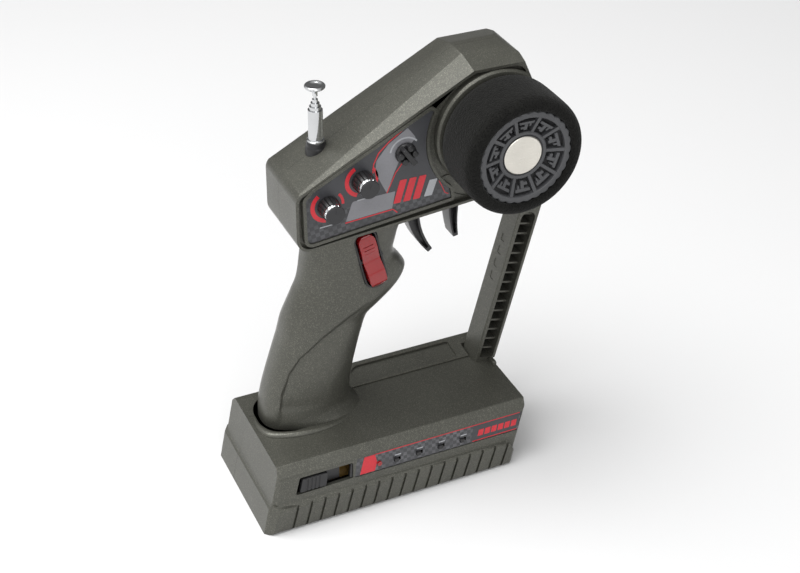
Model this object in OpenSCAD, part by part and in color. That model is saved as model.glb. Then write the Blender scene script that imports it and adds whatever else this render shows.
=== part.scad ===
// Pistol-grip radio transmitter for model cars.
// X points forward, -Y is the side with the steering wheel and panel, Z is up.
// The origin is the centre of the base's underside.

/* [Base] */
// Half the length of the base, mm
base_half_l = 84.5; // [82:0.5:86]
// Height of the deck above the table
deck_z = 45.5; // [45:0.5:46]
// Half width of the ribbed band
band_half_w = 45; // [44.5:0.5:46]
// Half width of the deck
deck_half_w = 36; // [35:0.5:37]
// Forward lean of the base's ends, in degrees
base_lean = 11.5; // [10:0.5:13]
// Grooves on each side of the ribbed band
groove_count = 17; // [11:1:19]

/* [Head] */
// Half width of the head
head_half_w = 23.2; // [22.7:0.1:23.7]
// Height of the head's flat top
head_top_z = 264.8; // [264:0.1:266]
// Rise of the roof from the sides to the middle
head_crown = 4; // [2:0.1:4.5]
// How far the head, grip and aerial stand to the left of the base's middle
upper_y = 11.5; // [10:0.5:13]
// Plane where the two casing halves meet
split_y = 15; // [13:0.5:16]

/* [Steering wheel] */
// Axle position along X
wheel_x = 74.5; // [73:0.5:75]
// Axle height
wheel_z = 226.3; // [225:0.1:227]
// Radius of the foam tyre
foam_r = 36.6; // [36:0.1:37]
// Radius of the rim under the foam
rim_r = 28; // [27:0.5:29]
// Outer face of the foam, from the head's middle
foam_front_y = -62.2; // [-63:0.1:-61.5]
// Inner face of the foam, from the head's middle
foam_back_y = -26; // [-26.5:0.1:-26]
// Radius of the steering shaft
shaft_r = 3; // [2.5:0.25:3.25]

/* [Strut] */
// Forward lean of the strut, in degrees
strut_lean = 13.8; // [13:0.1:14.4]
// Depth of the strut along X
strut_depth = 14.6; // [14:0.1:15]
// Width of the strut along Y
strut_w = 17.2; // [16:0.1:18]

/* [Aerial] */
// Aerial position along X
aerial_x = -23.2; // [-24:0.1:-23]
// Outer radius of the fixed tube
aerial_r = 4.2; // [4:0.1:4.4]

/* [Hidden] */
$fn = 48;

case_color = "#5d5d54";
trim_color = "#1c1c1d";
metal_color = "#c9ccd0";
panel_color = "#6a6a70";
red_color = "#b3161c";

wall = 2.4;
big = 400;
run_gap = 0.05;   // radial clearance of a shaft in its bore

// ---------- shared geometry ----------

function unit(v) = v / norm(v);

// Points of the fillet of radius r at corner b, between a and c.
function fillet(a, b, c, r, n = 6) =
    r <= 0 ? [b] :
    let (
        u = unit(a - b),
        v = unit(c - b),
        half = acos(u * v) / 2,
        reach = r / tan(half),
        centre = b + unit(u + v) * (r / sin(half)),
        p = b + u * reach - centre,
        q = b + v * reach - centre
    )
    [for (i = [0:n]) let (w = unit(p * (1 - i / n) + q * (i / n))) centre + w * r];

// A closed outline from corners [x, y, radius].
function rounded(corners) =
    let (n = len(corners))
    [for (i = [0:n - 1])
        let (a = corners[(i + n - 1) % n], b = corners[i], c = corners[(i + 1) % n])
        for (p = fillet([a.x, a.y], [b.x, b.y], [c.x, c.y], b.z)) p];

function bend(a, b, c, t) = a * (1 - t) * (1 - t) + b * 2 * t * (1 - t) + c * t * t;

// A tapering bar along a curve, from width w0 to w1, as an outline.
function bar(a, b, c, w0, w1, n = 9) =
    let (
        mid = [for (i = [0:n]) bend(a, b, c, i / n)],
        side = [for (i = [0:n])
            let (d = unit(mid[min(i + 1, n)] - mid[max(i - 1, 0)]))
            [-d.y, d.x] * (w0 + (w1 - w0) * i / n) / 2]
    )
    concat([for (i = [0:n]) mid[i] + side[i]], [for (i = [n:-1:0]) mid[i] - side[i]]);

// Stands a drawing in X and Z up and gives it thickness from y0 to y1.
module slab_y(y0, y1) {
    translate([0, y1, 0]) rotate([90, 0, 0]) linear_extrude(height = y1 - y0) children();
}

// A cylinder along Y from y0 to y1, centred on [x, z].
module rod_y(c, y0, y1, r) {
    translate([c.x, y1, c.y]) rotate([90, 0, 0]) cylinder(r = r, h = y1 - y0);
}

// A round-section ring whose axis is along Y.
module ring_y(c, y, ring_r, wire_r) {
    translate([c.x, y, c.y]) rotate([90, 0, 0])
        rotate_extrude() translate([ring_r, 0]) circle(r = wire_r, $fn = 16);
}

// The part of everything on one side of the parting plane: -1 right, +1 left.
module half(side) {
    intersection() {
        children();
        translate([-big, split_y + (side < 0 ? -big : 0), -big]) cube([2 * big, big, 2 * big]);
    }
}

// Moves pieces drawn about the head's own middle to where the head stands.
module upper() {
    translate([0, upper_y, 0]) children();
}

// ---------- base ----------

base_shift = deck_z * tan(base_lean);
floor_z = 5.4;
band_top_z = 17.5;
wall_y = -42;
pocket_x0 = -60;
pocket_x1 = 75;
door_len = 119;
door_half_w = 33;
bay_x = 56;
bay_half_w = 32;
label_x0 = -27.5;
label_z0 = 26;
label_z1 = 38.6;
lever_x = [for (i = [0:3]) 3 + i * 14.8];
lever_z = 30.2;
led_x = -9;
led_z = 31;
slider_x0 = -63;
slider_x1 = -27.6;

function base_side(inset = 0) = rounded([
    [-base_half_l + inset, inset, 4],
    [base_half_l - inset - 0.6, inset, 4],
    [base_half_l + base_shift - inset, deck_z - inset, 3.5],
    [-base_half_l + base_shift + inset, deck_z - inset, 3.5]]);

function base_end(inset = 0) = let (w = band_half_w - inset) rounded([
    [-w + 1.5, inset, 3], [w - 1.5, inset, 3],
    [w, band_top_z, 1], [-wall_y - inset, 22.5, 1], [-wall_y - 1 - inset, 39.5, 2],
    [deck_half_w - inset, deck_z - inset, 1.5], [-deck_half_w + inset, deck_z - inset, 1.5],
    [wall_y + 1 + inset, 39.5, 2], [wall_y + inset, 22.5, 1], [-w, band_top_z, 1]]);

module base_block() {
    intersection() {
        slab_y(-60, 60) polygon(base_side());
        translate([-120, 0, 0]) rotate([90, 0, 90]) linear_extrude(height = 240) polygon(base_end());
    }
}

module base_cavity() {
    intersection() {
        slab_y(-60, 60) polygon(base_side(wall));
        translate([-120, 0, 0]) rotate([90, 0, 90]) linear_extrude(height = 240) polygon(base_end(wall));
        translate([-120, -60, floor_z]) cube([240, 120, 100]);
    }
}

// Raised shelf along the rear of the deck, with a long shallow pocket.
module deck_shelf() {
    difference() {
        translate([0, 0, 0]) rotate([90, 0, 90]) linear_extrude(height = 91)
            polygon([[split_y, 44], [split_y, 46.4], [35.4, 49], [37.4, 47.6], [39.4, 42]]);
        translate([8, 25, 46]) rotate([7.2, 0, 0]) linear_extrude(height = 10)
            hull() { circle(r = 7.5, $fn = 32); translate([60, -7.5]) square([1, 15]); }
        translate([73, -2, 45.5]) cube([40, 30, 10]);
    }
}

module base_grooves() {
    pitch = 140.6 / (groove_count - 1);
    for (i = [0:groove_count - 1], s = [-1, 1])
        translate([-66.8 + i * pitch, s * band_half_w, 1.6])
            rotate([0, base_lean, 0]) translate([-0.7, -2, 0]) cube([1.4, 4, 14]);
}

module base_shell(side) {
    color(case_color) half(side) difference() {
        union() {
            base_block();
            if (side > 0) deck_shelf();
        }
        base_cavity();
        base_grooves();
        // door pocket, the way into the bay, and the strip's openings
        translate([pocket_x0, -door_half_w - 0.4, -1])
            cube([pocket_x1 - pocket_x0, 2 * door_half_w + 0.8, 3.9]);
        translate([-bay_x, -bay_half_w, 1]) cube([2 * bay_x, 2 * bay_half_w, 6]);
        label_recess();
        translate([slider_x0, -60, label_z0]) cube([slider_x1 - slider_x0, 19.4, 10.6]);
        translate([slider_x0 + 7, -50, label_z0 + 3.3]) cube([20, 20, 4]);
        for (x = lever_x) translate([x - 2.6, -50, lever_z - 1.6]) cube([5.2, 20, 3.2]);
        rod_y([led_x, led_z], -50, -30, 1.6);
        // cable way up into the grip
        translate([-38, upper_y, deck_z - 5]) cylinder(r = 9, h = 10);
    }
}

module base_shell_right() { base_shell(-1); }
module base_shell_left() { base_shell(1); }

function label_outline() = [
    [label_x0, label_z0], [base_half_l + label_z0 * tan(base_lean) - 4, label_z0],
    [base_half_l + label_z1 * tan(base_lean) - 4, label_z1], [label_x0, label_z1]];

module label_recess() {
    slab_y(-60, -41) polygon(label_outline());
}

module base_label() {
    color(trim_color) difference() {
        slab_y(-41.8, -41) polygon(label_outline());
        for (x = lever_x) translate([x - 2.6, -50, lever_z - 1.6]) cube([5.2, 20, 3.2]);
        rod_y([led_x, led_z], -50, -30, 1.6);
    }
}

module battery_door() {
    color(case_color) difference() {
        translate([pocket_x0 + 0.4, -door_half_w, 0]) cube([door_len, 2 * door_half_w, 2.2]);
        for (i = [0:4]) translate([38 + i * 3, -12, -0.1]) cube([1.4, 24, 0.9]);
    }
}

cell_r = 7.25;
cell_l = 50.5;
cell_z = 15.6;
function cell_y(i) = (i - 1.5) * 15.1;

module battery_tray() {
    color(trim_color) difference() {
        translate([-55.4, -31.4, 6.6]) cube([110.8, 62.8, 12]);
        translate([-53.9, -30.2, 8]) cube([107.8, 60.4, 20]);
    }
    color(trim_color) translate([-0.9, -30.2, 7.9]) cube([1.8, 60.4, 10]);
}

module battery_cells() {
    color("#b08a3a") for (i = [0:3], s = [-1, 1])
        translate([s * 27.2 - cell_l / 2, cell_y(i), cell_z]) rotate([0, 90, 0])
            union() {
                cylinder(r = cell_r, h = cell_l - 1.2);
                cylinder(r = 2.6, h = cell_l);
            }
}

module battery_contacts() {
    color(metal_color) for (i = [0:3], s = [-1, 1])
        translate([s * 53.5 - 0.25, cell_y(i) - 5, 9]) cube([0.5, 10, 11]);
}

module power_switch_body() {
    color(trim_color) translate([-56, -38.4, label_z0 + 0.6]) cube([22, 9, 9.4]);
}

module power_slider() {
    x0 = slider_x0 + 2;
    color(trim_color) union() {
        difference() {
            translate([x0, -43.4, label_z0 + 0.6]) cube([18, 2.6, 9.4]);
            for (i = [0:4]) translate([x0 + 4 + i * 2.4, -43.6, label_z0])
                cube([1, 0.9, 11]);
        }
        translate([x0 + 6, -41, label_z0 + 3.7]) cube([8, 2.2, 3.2]);
    }
}

module power_led() {
    color(red_color) union() {
        rod_y([led_x, led_z], -42.2, -38.2, 1.5);
        rod_y([led_x, led_z], -38.4, -36.6, 2.1);
    }
}

module reverse_switch_body() {
    color(trim_color) translate([-2, -37.6, lever_z - 3.6]) cube([54, 6, 7.2]);
}

// One small slide lever, numbered from the rear.
module reverse_lever(n) {
    color(trim_color) translate([lever_x[n - 1] - 2.2, -42.6, lever_z - 1.3]) cube([2.6, 4.7, 2.6]);
}

module reverse_lever_1() { reverse_lever(1); }
module reverse_lever_2() { reverse_lever(2); }
module reverse_lever_3() { reverse_lever(3); }
module reverse_lever_4() { reverse_lever(4); }

// ---------- grip ----------

// Height, rear X, front X and half width of the grip's sections.
grip_rows = [
    [45.5, -69, -2, 21.5], [50, -66, -5.5, 19.5], [58, -64.6, -7.5, 18.8], [68, -61.6, -6.8, 18.6],
    [86, -56, -3.2, 19], [101, -51.2, 0.8, 19.4], [111, -48.6, 5, 19.2], [118, -46, 13.5, 18.6],
    [128, -42, 25.5, 17.6], [137, -38.6, 29.2, 17], [143, -37, 26, 16.8], [149, -35.8, 21.4, 17],
    [159, -34.4, 22.6, 18], [171, -34, 26, 19.4], [184, -33, 30, 20.6]];
grip_round = 2.5;
grip_sides = 36;

function grip_ring(row, inset) =
    let (cx = (row[1] + row[2]) / 2, a = (row[2] - row[1]) / 2 - inset, b = row[3] - inset)
    [for (i = [0:grip_sides - 1])
        let (t = 360 * i / grip_sides, c = cos(t), s = sin(t), k = 2 / grip_round)
        [cx + a * sign(c) * pow(abs(c), k), b * sign(s) * pow(abs(s), k), row[0]]];

// A closed solid through rings of equal count, from the bottom ring to the top ring.
module loft(rings) {
    n = len(rings[0]);
    m = len(rings);
    side_faces = [for (j = [0:m - 2], i = [0:n - 1])
        let (k = (i + 1) % n)
        each [[j * n + i, (j + 1) * n + i, j * n + k], [j * n + k, (j + 1) * n + i, (j + 1) * n + k]]];
    caps = [[for (i = [0:n - 1]) i], [for (i = [n - 1:-1:0]) (m - 1) * n + i]];
    polyhedron(points = [for (r = rings) each r], faces = concat(side_faces, caps));
}

// Everything below the head's sloping underside.
head_low_z = 172;
head_rear_x = -46.3;
head_rise = 4.8;

module under_head() {
    translate([head_rear_x, 0, head_low_z]) rotate([0, -head_rise, 0])
        translate([-big, -big, -2 * big]) cube([2 * big, 2 * big, 2 * big]);
}

rocker_x = 1;
rocker_z = 153.8;
rocker_tilt = -14;

// Places children on the rocker's own axes: long axis up the grip, pivot at its middle.
module at_rocker() {
    translate([rocker_x, upper_y - 16, rocker_z]) rotate([0, rocker_tilt, 0]) children();
}

module rocker_bay() {
    at_rocker() translate([-8.2, -12, -20.4]) cube([16.4, 18.2, 40.8]);
}

module grip_shell(side) {
    color(case_color) half(side) difference() {
        upper() difference() {
            intersection() {
                loft([for (r = grip_rows) grip_ring(r, 0)]);
                under_head();
            }
            loft([for (i = [0:len(grip_rows) - 1])
                grip_ring(grip_rows[i] + [i == 0 ? -1 : i == len(grip_rows) - 1 ? 1 : 0, 0, 0, 0], wall)]);
            // room for the trigger's rear arm
            translate([12, -6.4, 148]) cube([30, 12.8, 60]);
        }
        rocker_bay();
    }
}

module grip_shell_right() { grip_shell(-1); }
module grip_shell_left() { grip_shell(1); }

module rocker_housing() {
    color(trim_color) at_rocker() difference() {
        translate([-8.2, -2.4, -20.4]) cube([16.4, 8.4, 40.8]);
        translate([-6.6, -10, -18.9]) cube([13.2, 14.8, 37.8]);
        rotate([0, 90, 0]) cylinder(r = 1.25, h = 40, center = true);
    }
}

module rocker_button() {
    color(red_color) at_rocker() difference() {
        rotate([0, 90, 0]) linear_extrude(height = 12, center = true)
            polygon(rounded([
                [-18, -4.6, 1.5], [-3, -2.6, 3], [3, -2.6, 3], [18, -4.6, 1.5],
                [17.4, 1, 2], [4, 4, 2], [-4, 4, 2], [-17.4, 1, 2]]));
        rotate([0, 90, 0]) cylinder(r = 1.25 + run_gap, h = 40, center = true);
    }
}

module rocker_pin() {
    color(metal_color) at_rocker() rotate([0, 90, 0]) cylinder(r = 1.25, h = 16, center = true);
}

// ---------- head ----------

head_rear_top_z = 208.7;
nose = [127, 187];
head_corners = [
    [head_rear_x, head_low_z, 9], [nose.x, nose.y, 8], [91.5, head_top_z, 12],
    [59.9, head_top_z, 10], [head_rear_x, head_rear_top_z, 7]];
pivot = [47, 196];
axle = [wheel_x, wheel_z];
trim_rear = [-27.4, 199.9];
trim_mid = [-6.8, 211.3];
rate_at = [19.1, 223.2];
screw_at = [[-37, 192], [8, 190], [113, 199], [86, 254]];
screw_r = 1.4;

// The same outline along the middle, where the roof is higher.
crown_half_w = 7.5;
rear_crown = 0.4;
crown_corners = [
    [head_rear_x, head_low_z, 9], [nose.x, nose.y, 8], [92.5, head_top_z + head_crown, 12],
    [59.9, head_top_z + head_crown, 10], [head_rear_x, head_rear_top_z + rear_crown, 7]];
crown_slope = atan((head_top_z + head_crown - head_rear_top_z - rear_crown) / (59.9 - head_rear_x));

module head_block() {
    edge = 3;
    hull() {
        slab_y(-crown_half_w, crown_half_w) polygon(rounded(crown_corners));
        slab_y(-head_half_w + edge, head_half_w - edge) polygon(rounded(head_corners));
        slab_y(-head_half_w, head_half_w) offset(delta = -edge) polygon(rounded(head_corners));
    }
}

module head_shell(side) {
    color(case_color) half(side) upper() difference() {
        head_block();
        slab_y(-head_half_w + wall, head_half_w - wall)
            offset(delta = -wall) polygon(rounded(head_corners));
        slab_y(-head_half_w - 1, -head_half_w + 1.2) offset(delta = 0.25) polygon(panel_outline());
        for (c = [trim_rear, trim_mid, rate_at]) rod_y(c, -40, -10, 3.3);
        rod_y(axle, -40, -10, 5);
        // aerial way through the sloping top and the underside
        translate([aerial_x, split_y - upper_y, 160]) cylinder(r = 5.4, h = 75);
        translate([22, -6.4, 160]) cube([50, 12.8, 30]);
        // countersinks of the screws
        for (c = screw_at) rod_y(c, head_half_w - wall - 0.35, 40, 2.65);
    }
    // pillar that holds the trigger pin
    color(case_color) upper() difference() {
        if (side < 0) rod_y(pivot, -head_half_w + wall - 0.2, -7.4, 5);
        else rod_y(pivot, 7.4, head_half_w - wall + 0.2, 5);
        rod_y(pivot, -13.2, 13.2, 2);
    }
    // bosses for the screws that clamp the halves
    color(case_color) upper() for (c = screw_at) difference() {
        if (side < 0) rod_y(c, -head_half_w + wall - 0.2, split_y - upper_y, 3.4);
        else rod_y(c, split_y - upper_y, head_half_w - wall + 0.2, 3.4);
        rod_y(c, -8, 40, screw_r);
        rod_y(c, head_half_w - wall - 0.35, 40, 2.65);
    }
}

module head_shell_right() { head_shell(-1); }
module head_shell_left() { head_shell(1); }

// The panel's front edge follows the steering wheel.
panel_arc_r = 38.6;
function panel_outline() = rounded([
    [-41.2, 206.7, 3], [-40.6, 176.6, 4], [49.3, 186.6, 0.8], [49.3, 188.2, 0],
    [37.8, 244.2, 0], [34.8, 247.4, 2], [-36.2, 211.4, 4]]);

module control_panel() {
    color(panel_color) upper() difference() {
        slab_y(-head_half_w, -head_half_w + 1.2) polygon(panel_outline());
        rod_y(axle, -40, 0, panel_arc_r);
        for (c = [trim_rear, trim_mid, rate_at]) rod_y(c, -40, -10, 3.3);
    }
}

// Potentiometer body behind the side wall, with a bore for the knob's stem.
module pot(c) {
    difference() {
        union() {
            rod_y(c, -20, -13, 7);
            rod_y(c, -13, -11.6, 4);
        }
        rod_y(c, -30, -12.6, 3 + run_gap);
    }
}

module trim_pots() {
    color(metal_color) upper() {
        pot(trim_rear);
        pot(trim_mid);
    }
}

module rate_pot() { color(metal_color) upper() pot(rate_at); }

// Fluted skirt on a plain stem.
module trim_knob(c) {
    color(metal_color) upper() union() {
        difference() {
            rod_y(c, -32.6, -head_half_w - 0.4, 6.3);
            for (i = [0:17]) translate([c.x, 0, c.y]) rotate([0, i * 20, 0])
                rod_y([6.6, 0], -31.5, -24.5, 0.55, $fn = 16);
            rod_y(c, -33, -31.6, 5);
        }
        rod_y(c, -24, -12.8, 3);
    }
}

module trim_cap(c) {
    color("#3c3c3e") upper() union() {
        rod_y(c, -34.4, -31.6, 4.95);
        rod_y(c + [0, 3.4], -34.7, -34.3, 0.6);
    }
}

module trim_knob_rear() { trim_knob(trim_rear); }
module trim_cap_rear() { trim_cap(trim_rear); }
module trim_knob_mid() { trim_knob(trim_mid); }
module trim_cap_mid() { trim_cap(trim_mid); }

module rate_knob() {
    color(trim_color) upper() union() {
        rod_y(rate_at, -24.6, -head_half_w - 0.4, 6.4);
        translate([rate_at.x, 0, rate_at.y]) rotate([0, -35, 0])
            translate([-1.7, -30, -6]) cube([3.4, 6, 12]);
        rod_y(rate_at, -24, -12.8, 3);
    }
}

// ---------- steering ----------

module wheel_collar() {
    color(case_color) upper() difference() {
        union() {
            rod_y(axle, -25.4, -head_half_w, 36.4);
            rod_y(axle, -head_half_w - 0.1, -20.6, 4.99);
        }
        rod_y(axle, -40, 0, 4.2);
    }
}

module wheel_bush() {
    color("#a08040") upper() difference() {
        rod_y(axle, -25.4, -16, 4.2);
        rod_y(axle, -40, 0, shaft_r + run_gap);
    }
}

module wheel_shaft() { color(metal_color) upper() rod_y(axle, hub_seat_y, 4, shaft_r); }

module steering_pot() {
    color(trim_color) upper() difference() {
        union() {
            rod_y(axle, -8, 2.6, 11);
            translate([wheel_x - 6, -6, wheel_z - 18]) cube([12, 6, 12]);
        }
        rod_y(axle, -40, 40, shaft_r + run_gap);
    }
}

module steering_spring() {
    color(metal_color) upper() for (i = [0:4]) ring_y(axle, -15 + i * 1.3, 6, 0.6);
}

rim_face_y = foam_front_y + 1.8;
// The wheel's middle is dished: its cap sits this far behind the rim's face
cap_dish = 3;
cap_seat_y = rim_face_y + cap_dish + 1.6;
hub_seat_y = rim_face_y + cap_dish + 5;

module steering_rim() {
    color("#55555a") upper() difference() {
        union() {
            translate([wheel_x, 0, wheel_z]) rotate([-90, 0, 0]) rotate_extrude($fn = 96) polygon([
                [4, cap_seat_y], [12.4, cap_seat_y], [12.4, cap_seat_y - 1.5], [13.9, cap_seat_y - 1.5],
                [24, rim_face_y + 0.9], [24.6, rim_face_y], [rim_r, rim_face_y],
                [rim_r, rim_face_y + 2.6], [24, rim_face_y + 3.6], [13.6, cap_seat_y + 2.4],
                [4, cap_seat_y + 2.4]]);
            difference() {
                rod_y(axle, rim_face_y + 2.5, -28, rim_r);
                rod_y(axle, -60, -20, rim_r - 2.2);
            }
            rod_y(axle, cap_seat_y + 1, -27, 8);
            for (i = [0:4]) translate([wheel_x, 0, wheel_z]) rotate([0, i * 72, 0])
                translate([0, cap_seat_y + 2, -1]) cube([rim_r - 1, 22, 2]);
        }
        rod_y(axle, -70, 0, shaft_r);
        rod_y(axle, -70, hub_seat_y, 6.5);
        for (i = [0:9]) translate([wheel_x, 0, wheel_z]) rotate([0, i * 36 + 18, 0])
            slab_y(-70, -50) polygon(rounded([
                [15.5, -3.2, 0.8], [22.5, -5, 0.8], [22.5, -1.4, 0.3], [19, -1.2, 0.3],
                [19, 1.2, 0.3], [22.5, 1.4, 0.3], [22.5, 5, 0.8], [15.5, 3.2, 0.8]]));
    }
}

module steering_foam() {
    color("#232321") upper() translate([wheel_x, foam_back_y, wheel_z]) rotate([90, 0, 0])
        rotate_extrude($fn = 96) polygon(rounded([
            [rim_r, 0, 0], [foam_r, 0, 5], [foam_r, foam_back_y - foam_front_y, 5],
            [rim_r, foam_back_y - foam_front_y, 1.5]]));
}

module wheel_screw() {
    color(metal_color) upper() union() {
        rod_y(axle, hub_seat_y - 2.2, hub_seat_y, 4);
    }
}

module wheel_cap() {
    color("#d8d4c8") upper() difference() {
        union() {
            rod_y(axle, cap_seat_y - 1.6, cap_seat_y, 12.2);
            rod_y(axle, cap_seat_y - 0.1, cap_seat_y + 0.9, 6.4);
        }
        rod_y(axle, cap_seat_y + 0.2, -45, 4.6);
    }
}

// ---------- trigger ----------

module trigger() {
    color(trim_color) upper() difference() {
        slab_y(-5.5, 5.5) {
            translate(pivot) circle(r = 5.8);
            polygon([[29, 180], [65, 180], [52, 199], [42, 199]]);
            polygon(bar([33.4, 181], [31, 160], [45, 141.6], 10, 3.4));
            polygon(bar([60.6, 181], [58.4, 164], [61.8, 147.4], 8, 3.4));
        }
        rod_y(pivot, -20, 20, 2 + run_gap);
        rod_y(pivot, -20, -3.6, 7.6);
    }
}

module trigger_pin() { color(metal_color) upper() rod_y(pivot, -13.2, 13.2, 2); }

module trigger_spring() {
    color(metal_color) upper() for (i = [0:1]) ring_y(pivot, -6.6 + i * 1.4, 3.6, 0.55);
}

module throttle_pot() {
    color(trim_color) upper() translate([22, -4, 208]) cube([16, 10, 9]);
}

// ---------- strut ----------

strut_x0 = 79.6;
strut_mid_y = 16.2;
strut_foot_z = deck_z;
rib_pitch = 9.4;
rib_count = 11;

module front_strut() {
    color(case_color) difference() {
        intersection() {
            // stays under the head and behind the line of its front face
            slab_y(0, 40) polygon([[0, strut_foot_z], [191.5, strut_foot_z],
                nose + [0.6, 0], nose + [-2, 6], [0, 193]]);
            translate([strut_x0, strut_mid_y, strut_foot_z]) rotate([0, strut_lean, 0]) difference() {
                translate([0, -strut_w / 2, -20]) cube([strut_depth, strut_w, 200]);
                for (i = [0:rib_count - 1])
                    translate([2, -strut_w / 2 - 1, 6 + i * rib_pitch])
                        cube([strut_depth - 4, strut_w - 1.6, rib_pitch - 1.8]);
                translate([2, -strut_w / 2 - 1, 6]) cube([strut_depth - 4, 4.4, rib_count * rib_pitch]);
            }
        }
        upper() head_block();
    }
}

// ---------- aerial ----------

aerial_foot_z = 104;
aerial_top_z = 246;
section_wall = 0.55;
section_step = 2.1;

module aerial_boss() {
    color(trim_color) translate([0, split_y, 0]) difference() {
        translate([aerial_x, 0, 0]) union() {
            translate([0, 0, 212]) cylinder(r = 5.4, h = 6);
            translate([0, 0, 216]) cylinder(r = 6.7, h = 8);
            translate([0, 0, 223.9]) cylinder(r1 = 6.2, r2 = 5.2, h = 3.2);
        }
        translate([aerial_x, 0, 200]) cylinder(r = aerial_r, h = 60);
        under_slope();
    }
}

// Everything below the sloping top's skin, clear of the hole.
module under_slope() {
    difference() {
        translate([head_rear_x, 0, head_rear_top_z + rear_crown]) rotate([0, -crown_slope, 0])
            translate([-20, -20, -60]) cube([80, 40, 60]);
        translate([aerial_x, 0, 200]) cylinder(r = 5.4, h = 60);
    }
}

// Outer radius of section n: each one slides in the one before it.
function section_r(n) = aerial_r - (n - 1) * (section_wall + run_gap + 0.25);

module aerial_tube() {
    color(metal_color) translate([aerial_x, split_y, aerial_foot_z]) difference() {
        cylinder(r = aerial_r, h = aerial_top_z - aerial_foot_z);
        translate([0, 0, 1.5]) cylinder(r = section_r(2) + run_gap, h = 200);
    }
}

module aerial_section(n) {
    base_z = aerial_foot_z + 2 + (n - 2) * 1.2;
    top_z = aerial_top_z + (n - 1) * section_step;
    color(metal_color) translate([aerial_x, split_y, base_z]) difference() {
        cylinder(r = section_r(n), h = top_z - base_z);
        if (n < 5) translate([0, 0, 1]) cylinder(r = section_r(n + 1) + run_gap, h = 200);
    }
}

module aerial_section_2() { aerial_section(2); }
module aerial_section_3() { aerial_section(3); }
module aerial_section_4() { aerial_section(4); }
module aerial_section_5() { aerial_section(5); }

module aerial_cap() {
    z = aerial_top_z + 4 * section_step;
    color(metal_color) translate([aerial_x, split_y, z]) rotate_extrude() polygon([
        [0, 0], [1.6, 0], [1.6, 3.4], [5.2, 4.8], [6, 5.4], [6, 6], [5.2, 6.6], [0, 7]]);
}

// ---------- electronics and fasteners ----------

module main_board() {
    color("#2f6b3c") upper() slab_y(10, 11.6)
        polygon([[-10, 205], [52, 205], [52, 245], [32, 245], [-10, 222]]);
}

module crystal() { color(metal_color) upper() translate([26, 5.8, 221]) cube([11, 4.2, 13]); }

// Screws that clamp the halves, driven from the left side.
module case_screws() {
    color(metal_color) upper() for (c = screw_at) union() {
        rod_y(c, -7, head_half_w - 1, screw_r);
        rod_y(c, head_half_w - wall - 0.3, head_half_w - 0.4, 2.6);
    }
}

// ---------- assembly ----------

base_shell_right();
base_shell_left();
battery_tray();
battery_cells();
battery_contacts();
battery_door();
base_label();
power_switch_body();
power_slider();
power_led();
reverse_switch_body();
reverse_lever_1();
reverse_lever_2();
reverse_lever_3();
reverse_lever_4();
grip_shell_right();
grip_shell_left();
rocker_housing();
rocker_button();
rocker_pin();
head_shell_right();
head_shell_left();
control_panel();
trim_pots();
trim_knob_rear();
trim_cap_rear();
trim_knob_mid();
trim_cap_mid();
rate_knob();
rate_pot();
wheel_collar();
wheel_bush();
wheel_shaft();
steering_pot();
steering_spring();
steering_rim();
steering_foam();
wheel_screw();
wheel_cap();
trigger();
trigger_pin();
trigger_spring();
throttle_pot();
front_strut();
aerial_boss();
aerial_tube();
aerial_section_2();
aerial_section_3();
aerial_section_4();
aerial_section_5();
aerial_cap();
main_board();
crystal();
case_screws();
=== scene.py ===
"""Pistol-grip radio transmitter for model cars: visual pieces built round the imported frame.

Everything is modelled in millimetres in the frame's own axes and scaled once, when a piece is
published: +X forwards, -Y towards the steering wheel's outer face, +Z up.
"""
import logging
import math
from dataclasses import dataclass, field
from enum import Enum
from typing import Callable, Optional, Sequence

import bmesh
import bpy
from mathutils import Matrix, Vector


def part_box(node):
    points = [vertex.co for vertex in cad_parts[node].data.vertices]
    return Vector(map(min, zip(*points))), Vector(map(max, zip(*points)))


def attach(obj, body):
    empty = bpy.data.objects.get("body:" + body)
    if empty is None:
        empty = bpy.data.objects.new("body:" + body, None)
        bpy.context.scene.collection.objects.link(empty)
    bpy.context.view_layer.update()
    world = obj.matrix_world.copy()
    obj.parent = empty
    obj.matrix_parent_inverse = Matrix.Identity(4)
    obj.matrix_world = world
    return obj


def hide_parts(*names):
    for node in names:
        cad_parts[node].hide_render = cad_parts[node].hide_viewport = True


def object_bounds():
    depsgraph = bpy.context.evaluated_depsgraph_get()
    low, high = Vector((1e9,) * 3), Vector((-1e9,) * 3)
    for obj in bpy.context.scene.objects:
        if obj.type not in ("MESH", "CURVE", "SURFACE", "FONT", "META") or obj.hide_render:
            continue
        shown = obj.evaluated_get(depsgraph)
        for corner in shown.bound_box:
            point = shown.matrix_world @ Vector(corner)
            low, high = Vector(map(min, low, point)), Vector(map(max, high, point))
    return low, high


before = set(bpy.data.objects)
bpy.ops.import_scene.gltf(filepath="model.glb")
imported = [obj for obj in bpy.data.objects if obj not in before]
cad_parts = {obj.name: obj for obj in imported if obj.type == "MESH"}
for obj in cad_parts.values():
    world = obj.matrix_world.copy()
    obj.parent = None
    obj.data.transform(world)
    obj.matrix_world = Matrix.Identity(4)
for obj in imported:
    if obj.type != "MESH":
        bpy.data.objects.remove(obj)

log = logging.getLogger("transmitter")
logging.basicConfig(level=logging.INFO, format="%(name)s: %(message)s")

CAD_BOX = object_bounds()
MM = 0.001
Corner = tuple[float, float, float]
Point2 = tuple[float, float]


def datum(node: str) -> tuple[Vector, Vector]:
    """Lowest and highest corners of a CAD node, in millimetres."""
    low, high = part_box(node)
    return Vector(low) / MM, Vector(high) / MM


def middle(node: str) -> Vector:
    """Centre of a CAD node's box, in millimetres."""
    low, high = datum(node)
    return (low + high) / 2


class Side(Enum):
    """The two casing halves, by the sign of Y on their side of the parting plane."""

    RIGHT = -1
    LEFT = 1


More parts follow.
